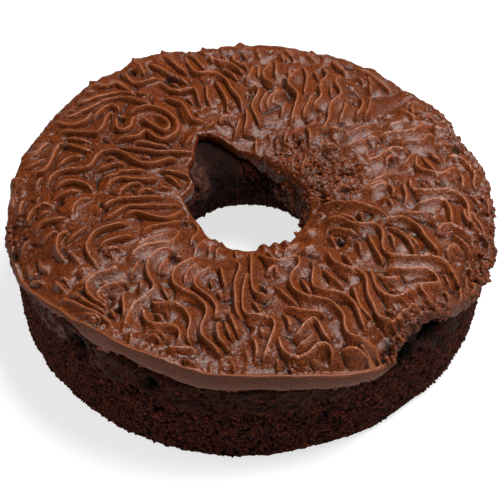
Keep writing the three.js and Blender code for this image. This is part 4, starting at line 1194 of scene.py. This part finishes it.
def noise(nt, scale, detail=2.0, rough=0.5, coords=None, kind="noise"):
    if kind == "noise":
        n = nt.nodes.new("ShaderNodeTexNoise")
        n.inputs["Detail"].default_value = detail
        n.inputs["Roughness"].default_value = rough
        out = n.outputs["Fac"]
    else:
        n = nt.nodes.new("ShaderNodeTexVoronoi")
        out = n.outputs["Distance"]
    n.inputs["Scale"].default_value = scale
    if coords is not None:
        nt.links.new(coords, n.inputs["Vector"])
    return out


def ramp(nt, fac, stops):
    n = nt.nodes.new("ShaderNodeValToRGB")
    el = n.color_ramp.elements
    while len(el) > 1:
        el.remove(el[-1])
    for k, (pos, col) in enumerate(stops):
        e = el[0] if k == 0 else el.new(pos)
        e.position = pos
        e.color = col if len(col) == 4 else (*col, 1)
    nt.links.new(fac, n.inputs[0])
    return n.outputs[0]


def grey(v):
    return (v, v, v, 1)


def bump_node(nt, height, strength, distance, normal=None):
    n = nt.nodes.new("ShaderNodeBump")
    n.inputs["Strength"].default_value = strength
    n.inputs["Distance"].default_value = distance
    nt.links.new(height, n.inputs["Height"])
    if normal is not None:
        nt.links.new(normal, n.inputs["Normal"])
    return n.outputs[0]


def obj_coords(nt):
    return nt.nodes.new("ShaderNodeTexCoord").outputs["Object"]


def frosting_material():
    mat, nt, b = new_material("chocolate_frosting")
    co = obj_coords(nt)
    base = mix(nt, ramp(nt, noise(nt, 38, 3, 0.55, co), [(0.35, grey(0)), (0.65, grey(1))]),
               linear(*FROST_DARK), linear(*FROST_MID))
    fine = ramp(nt, noise(nt, 1100, 2, 0.6, co), [(0.50, grey(0)), (0.62, grey(1))])
    base = mix(nt, calc(nt, "MULTIPLY", fine, 0.85), base, linear(*FROST_LIGHT))
    speck = ramp(nt, noise(nt, 1250, 2, 0.6, co), [(0.40, grey(1)), (0.52, grey(0))])
    base = mix(nt, calc(nt, "MULTIPLY", speck, 0.90), base, linear(*FROST_SPECKS_AND_SHADE))
    cover = attr(nt, "cover")
    # painted highlight: lighter colour along the crests and along the slab's front edge
    base = mix(nt, calc(nt, "MULTIPLY", attr(nt, "crest"), 0.66), base, linear(*FROST_CREST_HIGHLIGHT))
    # painted shade: darker colour away from the ridges, in the low floors between them
    base = mix(nt, calc(nt, "MULTIPLY", calc(nt, "SUBTRACT", 1.0, cover), 0.18, clamp=True), base, linear(*FROST_SPECKS_AND_SHADE))
    # painted shade: darker colour on the slab face and on the skirt in the hole
    base = mix(nt, calc(nt, "MULTIPLY", attr(nt, "slab"), 0.55), base, linear(*FROST_SLAB_SHADE))
    crumb = ramp(nt, noise(nt, 420, 3, 0.65, co), [(0.42, grey(0)), (0.60, grey(1))])
    base = mix(nt, calc(nt, "MULTIPLY", calc(nt, "MULTIPLY", attr(nt, "torn"), crumb), 0.5), base, linear(*FROST_SPECKS_AND_SHADE))
    # painted shade: dark colour in the cracks and on the skirt
    base = mix(nt, attr(nt, "crack_shade"), base, linear(30, 14, 9))
    # painted shade: near-black colour in the creases
    base = mix(nt, calc(nt, "MULTIPLY", attr(nt, "crease_shade"), 0.95), base, linear(26, 10, 6))
    # painted shade: near-black colour in the pits
    base = mix(nt, calc(nt, "MULTIPLY", attr(nt, "pit"), 0.75), base, linear(14, 7, 5))
    nt.links.new(base, b.inputs["Base Color"])
    rough = calc(nt, "ADD", FROST_ROUGH, calc(nt, "MULTIPLY", noise(nt, 90, 2, 0.5, co), 0.08))
    rough = calc(nt, "ADD", rough, calc(nt, "MULTIPLY", attr(nt, "torn"), 0.12))
    rough = calc(nt, "ADD", rough, calc(nt, "MULTIPLY", attr(nt, "pit"), 0.5))
    rough = calc(nt, "ADD", rough, calc(nt, "MULTIPLY", attr(nt, "slab"), 0.38), clamp=True)
    nt.links.new(rough, b.inputs["Roughness"])
    b.inputs["Specular IOR Level"].default_value = 0.32
    n1 = bump_node(nt, noise(nt, 620, 3, 0.6, co), 0.55, 0.0007)
    n2 = bump_node(nt, noise(nt, 1500, 2, 0.6, co), 0.45, 0.0004, n1)
    nt.links.new(n2, b.inputs["Normal"])
    return mat


def sponge_material():
    mat, nt, b = new_material("chocolate_sponge")
    co = obj_coords(nt)
    grains = ramp(nt, noise(nt, 620, 3, 0.7, co), [(0.38, grey(0)), (0.62, grey(1))])
    crumb = mix(nt, grains, linear(*CRUMB_DARK), linear(*CRUMB_MID))
    crumb = mix(nt, ramp(nt, noise(nt, 1100, 2, 0.6, co), [(0.55, grey(0)), (0.72, grey(1))]), crumb, linear(*CRUMB_RED))
    # painted shade: near-black colour in the holes and between the grains of the crumb
    crumb = mix(nt, ramp(nt, attr(nt, "void_shade"), [(0.12, grey(0)), (0.62, grey(1))]), crumb, linear(*CRUMB_VOID_SHADE))
    skin = mix(nt, ramp(nt, noise(nt, 210, 4, 0.65, co), [(0.35, grey(0)), (0.66, grey(1))]), linear(*SKIN_DARK), linear(*SKIN_LIGHT))
    base = mix(nt, attr(nt, "skin"), crumb, skin)
    # painted shade: near-black colour in the gaps, the notch and the hole
    base = mix(nt, attr(nt, "hollow_shade"), base, linear(9, 5, 4))
    # painted sheen: lighter speckles of skin colour where the baked mask is set
    glint = calc(nt, "MULTIPLY", attr(nt, "baked"), ramp(nt, noise(nt, 330, 4, 0.7, co), [(0.42, grey(0)), (0.60, grey(1))]))
    base = mix(nt, calc(nt, "MULTIPLY", glint, 0.85), base, linear(*SKIN_SHEEN))
    nt.links.new(base, b.inputs["Base Color"])
    rough = calc(nt, "SUBTRACT", 0.95, calc(nt, "MULTIPLY", attr(nt, "skin"), 0.10))
    rough = calc(nt, "SUBTRACT", rough, calc(nt, "MULTIPLY", attr(nt, "baked"), 0.45))
    nt.links.new(rough, b.inputs["Roughness"])
    b.inputs["Specular IOR Level"].default_value = 0.09
    soft = calc(nt, "SUBTRACT", 1.0, calc(nt, "MULTIPLY", attr(nt, "skin"), 0.4))
    h = calc(nt, "MULTIPLY", noise(nt, 800, 3, 0.7, co), soft)
    h = calc(nt, "ADD", h, calc(nt, "MULTIPLY", noise(nt, 260, 3, 0.7, co), attr(nt, "skin")))
    n1 = bump_node(nt, h, 0.9, 0.0012)
    nt.links.new(n1, b.inputs["Normal"])
    return mat


def crumbs_material(name, dark, light, mid, roughness=0.9):
    mat, nt, b = new_material(name)
    co = obj_coords(nt)
    base = mix(nt, attr(nt, "shade"), linear(*dark), linear(*light))
    base = mix(nt, ramp(nt, noise(nt, 900, 2, 0.6, co), [(0.4, grey(0)), (0.6, grey(1))]), base, linear(*mid))
    nt.links.new(base, b.inputs["Base Color"])
    b.inputs["Roughness"].default_value = roughness
    b.inputs["Specular IOR Level"].default_value = 0.15
    nt.links.new(bump_node(nt, noise(nt, 1400, 2, 0.6, co), 0.5, 0.0005), b.inputs["Normal"])
    return mat


def floor_material():
    mat, nt, b = new_material("studio_floor")
    co = obj_coords(nt)
    base = mix(nt, noise(nt, 3, 2, 0.5, co), (0.44, 0.44, 0.44, 1), (0.47, 0.47, 0.47, 1))
    nt.links.new(base, b.inputs["Base Color"])
    b.inputs["Roughness"].default_value = 0.7
    b.inputs["Emission Color"].default_value = (1, 1, 1, 1)
    b.inputs["Emission Strength"].default_value = FLOOR_GLOW      # a lit table, as for a cut-out picture
    return mat


# colours read, as sRGB
FROST_MID, FROST_DARK, FROST_LIGHT = (112, 47, 12), (88, 36, 9), (146, 76, 34)
# the crest colour is a painted highlight
# the deep colour serves the dark specks and the caught crumbs, and also painted shade between the ridges
# the slab colour is painted shade
FROST_CREST_HIGHLIGHT, FROST_SPECKS_AND_SHADE, FROST_SLAB_SHADE = (166, 98, 62), (46, 18, 7), (80, 37, 16)
FROST_ROUGH = 0.26
# the void colour is painted shade in the holes of the crumb
CRUMB_DARK, CRUMB_MID, CRUMB_RED, CRUMB_VOID_SHADE = (26, 12, 8), (64, 29, 20), (136, 57, 32), (4, 2, 2)
# the lightest skin colour is a painted sheen
SKIN_DARK, SKIN_LIGHT, SKIN_SHEEN = (22, 10, 7), (62, 30, 19), (98, 60, 48)

# ---------------------------------------------------------------- build it all
frosting, torn_points = build_frosting()
frosting.data.materials.append(frosting_material())
sponge = build_sponge()
sponge.data.materials.append(sponge_material())
crumbs = build_crumbs()
crumbs.data.materials.append(crumbs_material("chocolate_crumbs", CRUMB_DARK, CRUMB_RED, CRUMB_MID))
torn_crumbs = build_torn_crumbs(*torn_points)
torn_crumbs.data.materials.append(crumbs_material("frosting_crumbs", (64, 28, 12), (142, 76, 44), (106, 48, 20), 0.5))
for piece, node in ((frosting, "frosting"), (sponge, "sponge")):
    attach(piece, "root")
    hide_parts(node)
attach(crumbs, "root")
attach(torn_crumbs, "root")

# ------------------------------------------------------------------ the studio
def floor():
    size, n = 6.4, 32
    g = np.linspace(-size / 2, size / 2, n + 1)
    X, Y = np.meshgrid(g, g)
    V = np.stack([X.ravel(), Y.ravel(), np.full(X.size, -0.0004)], axis=1)
    F = []
    for j in range(n):
        for i in range(n):
            k = j * (n + 1) + i
            F.append((k, k + 1, k + n + 2, k + n + 1))
    mesh = bpy.data.meshes.new("floor")
    mesh.from_pydata(V.tolist(), [], F)
    obj = bpy.data.objects.new("floor", mesh)
    bpy.context.scene.collection.objects.link(obj)
    obj.data.materials.append(floor_material())
    return obj


def backdrop():
    """Pale paper standing round the table; it only shows, it lights nothing."""
    n = 96
    t = np.arange(n) * TAU / n
    ring = np.stack([3.0 * np.cos(t), 3.0 * np.sin(t)], axis=1)
    V = np.concatenate([np.column_stack([ring, np.full(n, z)]) for z in (-0.01, 3.2)])
    F = [(i, (i + 1) % n, n + (i + 1) % n, n + i) for i in range(n)]
    mesh = bpy.data.meshes.new("backdrop")
    mesh.from_pydata(V.tolist(), [], F)
    obj = bpy.data.objects.new("backdrop", mesh)
    bpy.context.scene.collection.objects.link(obj)
    mat, nt, b = new_material("studio_paper")
    shade = mix(nt, noise(nt, 0.8, 2, 0.5, obj_coords(nt)), (0.80, 0.80, 0.80, 1), (0.86, 0.86, 0.86, 1))
    b.inputs["Base Color"].default_value = (0.02, 0.02, 0.02, 1)
    b.inputs["Roughness"].default_value = 1.0
    b.inputs["Specular IOR Level"].default_value = 0.0
    nt.links.new(shade, b.inputs["Emission Color"])
    b.inputs["Emission Strength"].default_value = 1.0
    mesh.materials.append(mat)
    obj.visible_diffuse = obj.visible_glossy = obj.visible_shadow = obj.visible_transmission = False
    return obj


floor()
backdrop()


def area_light(name, place, aim, size, power, colour=(1, 1, 1), size_y=None, shine=True):
    lamp = bpy.data.lights.new(name, "AREA")
    lamp.energy = power
    lamp.color = colour
    lamp.size = size
    if size_y:
        lamp.shape = "RECTANGLE"
        lamp.size_y = size_y
    obj = bpy.data.objects.new(name, lamp)
    from mathutils import Vector
    obj.location = place
    obj.rotation_euler = (Vector(aim) - Vector(place)).to_track_quat("-Z", "Y").to_euler()
    bpy.context.scene.collection.objects.link(obj)
    obj.visible_glossy = shine
    return obj


area_light("soft_top", (0.40, 0.22, 1.10), (0, 0, 0.03), 0.62, LIGHT_TOP)
area_light("soft_right", (1.2, -0.25, 0.55), (0, 0, 0.03), 0.7, LIGHT_RIGHT, shine=False)
area_light("soft_left", (-1.2, -0.10, 0.65), (0, 0, 0.03), 0.7, LIGHT_LEFT, shine=False)

world = bpy.data.worlds.new("studio")
world.use_nodes = True
world.node_tree.nodes["Background"].inputs[0].default_value = (1, 1, 1, 1)
world.node_tree.nodes["Background"].inputs[1].default_value = WORLD
bpy.context.scene.world = world
bpy.context.scene.view_settings.view_transform = "Standard"
bpy.context.scene.view_settings.look = "None"
bpy.context.scene.view_settings.exposure = 0.0

# camera at the photograph's angle: 45.4 deg down, 944 mm away
cam_data = bpy.data.cameras.new("camera")
cam_data.sensor_width = 36
cam_data.lens = 1870.7 / 500 * 36
cam_data.clip_start, cam_data.clip_end = 0.05, 20
cam = bpy.data.objects.new("camera", cam_data)
e = math.radians(45.42)
place = np.array([0, -944 * math.cos(e), 944 * math.sin(e)])
fwd = np.array([0, math.cos(e), -math.sin(e)])
up = np.array([0, math.sin(e), math.cos(e)])
right = np.array([1.0, 0, 0])
look = fwd + right * (250 - 249.2) / 1870.7 - up * (250 - 282.35) / 1870.7
from mathutils import Vector
cam.location = (place + SHIFT) * MM
cam.rotation_euler = Vector(look).to_track_quat("-Z", "Y").to_euler()
bpy.context.scene.collection.objects.link(cam)
bpy.context.scene.camera = cam
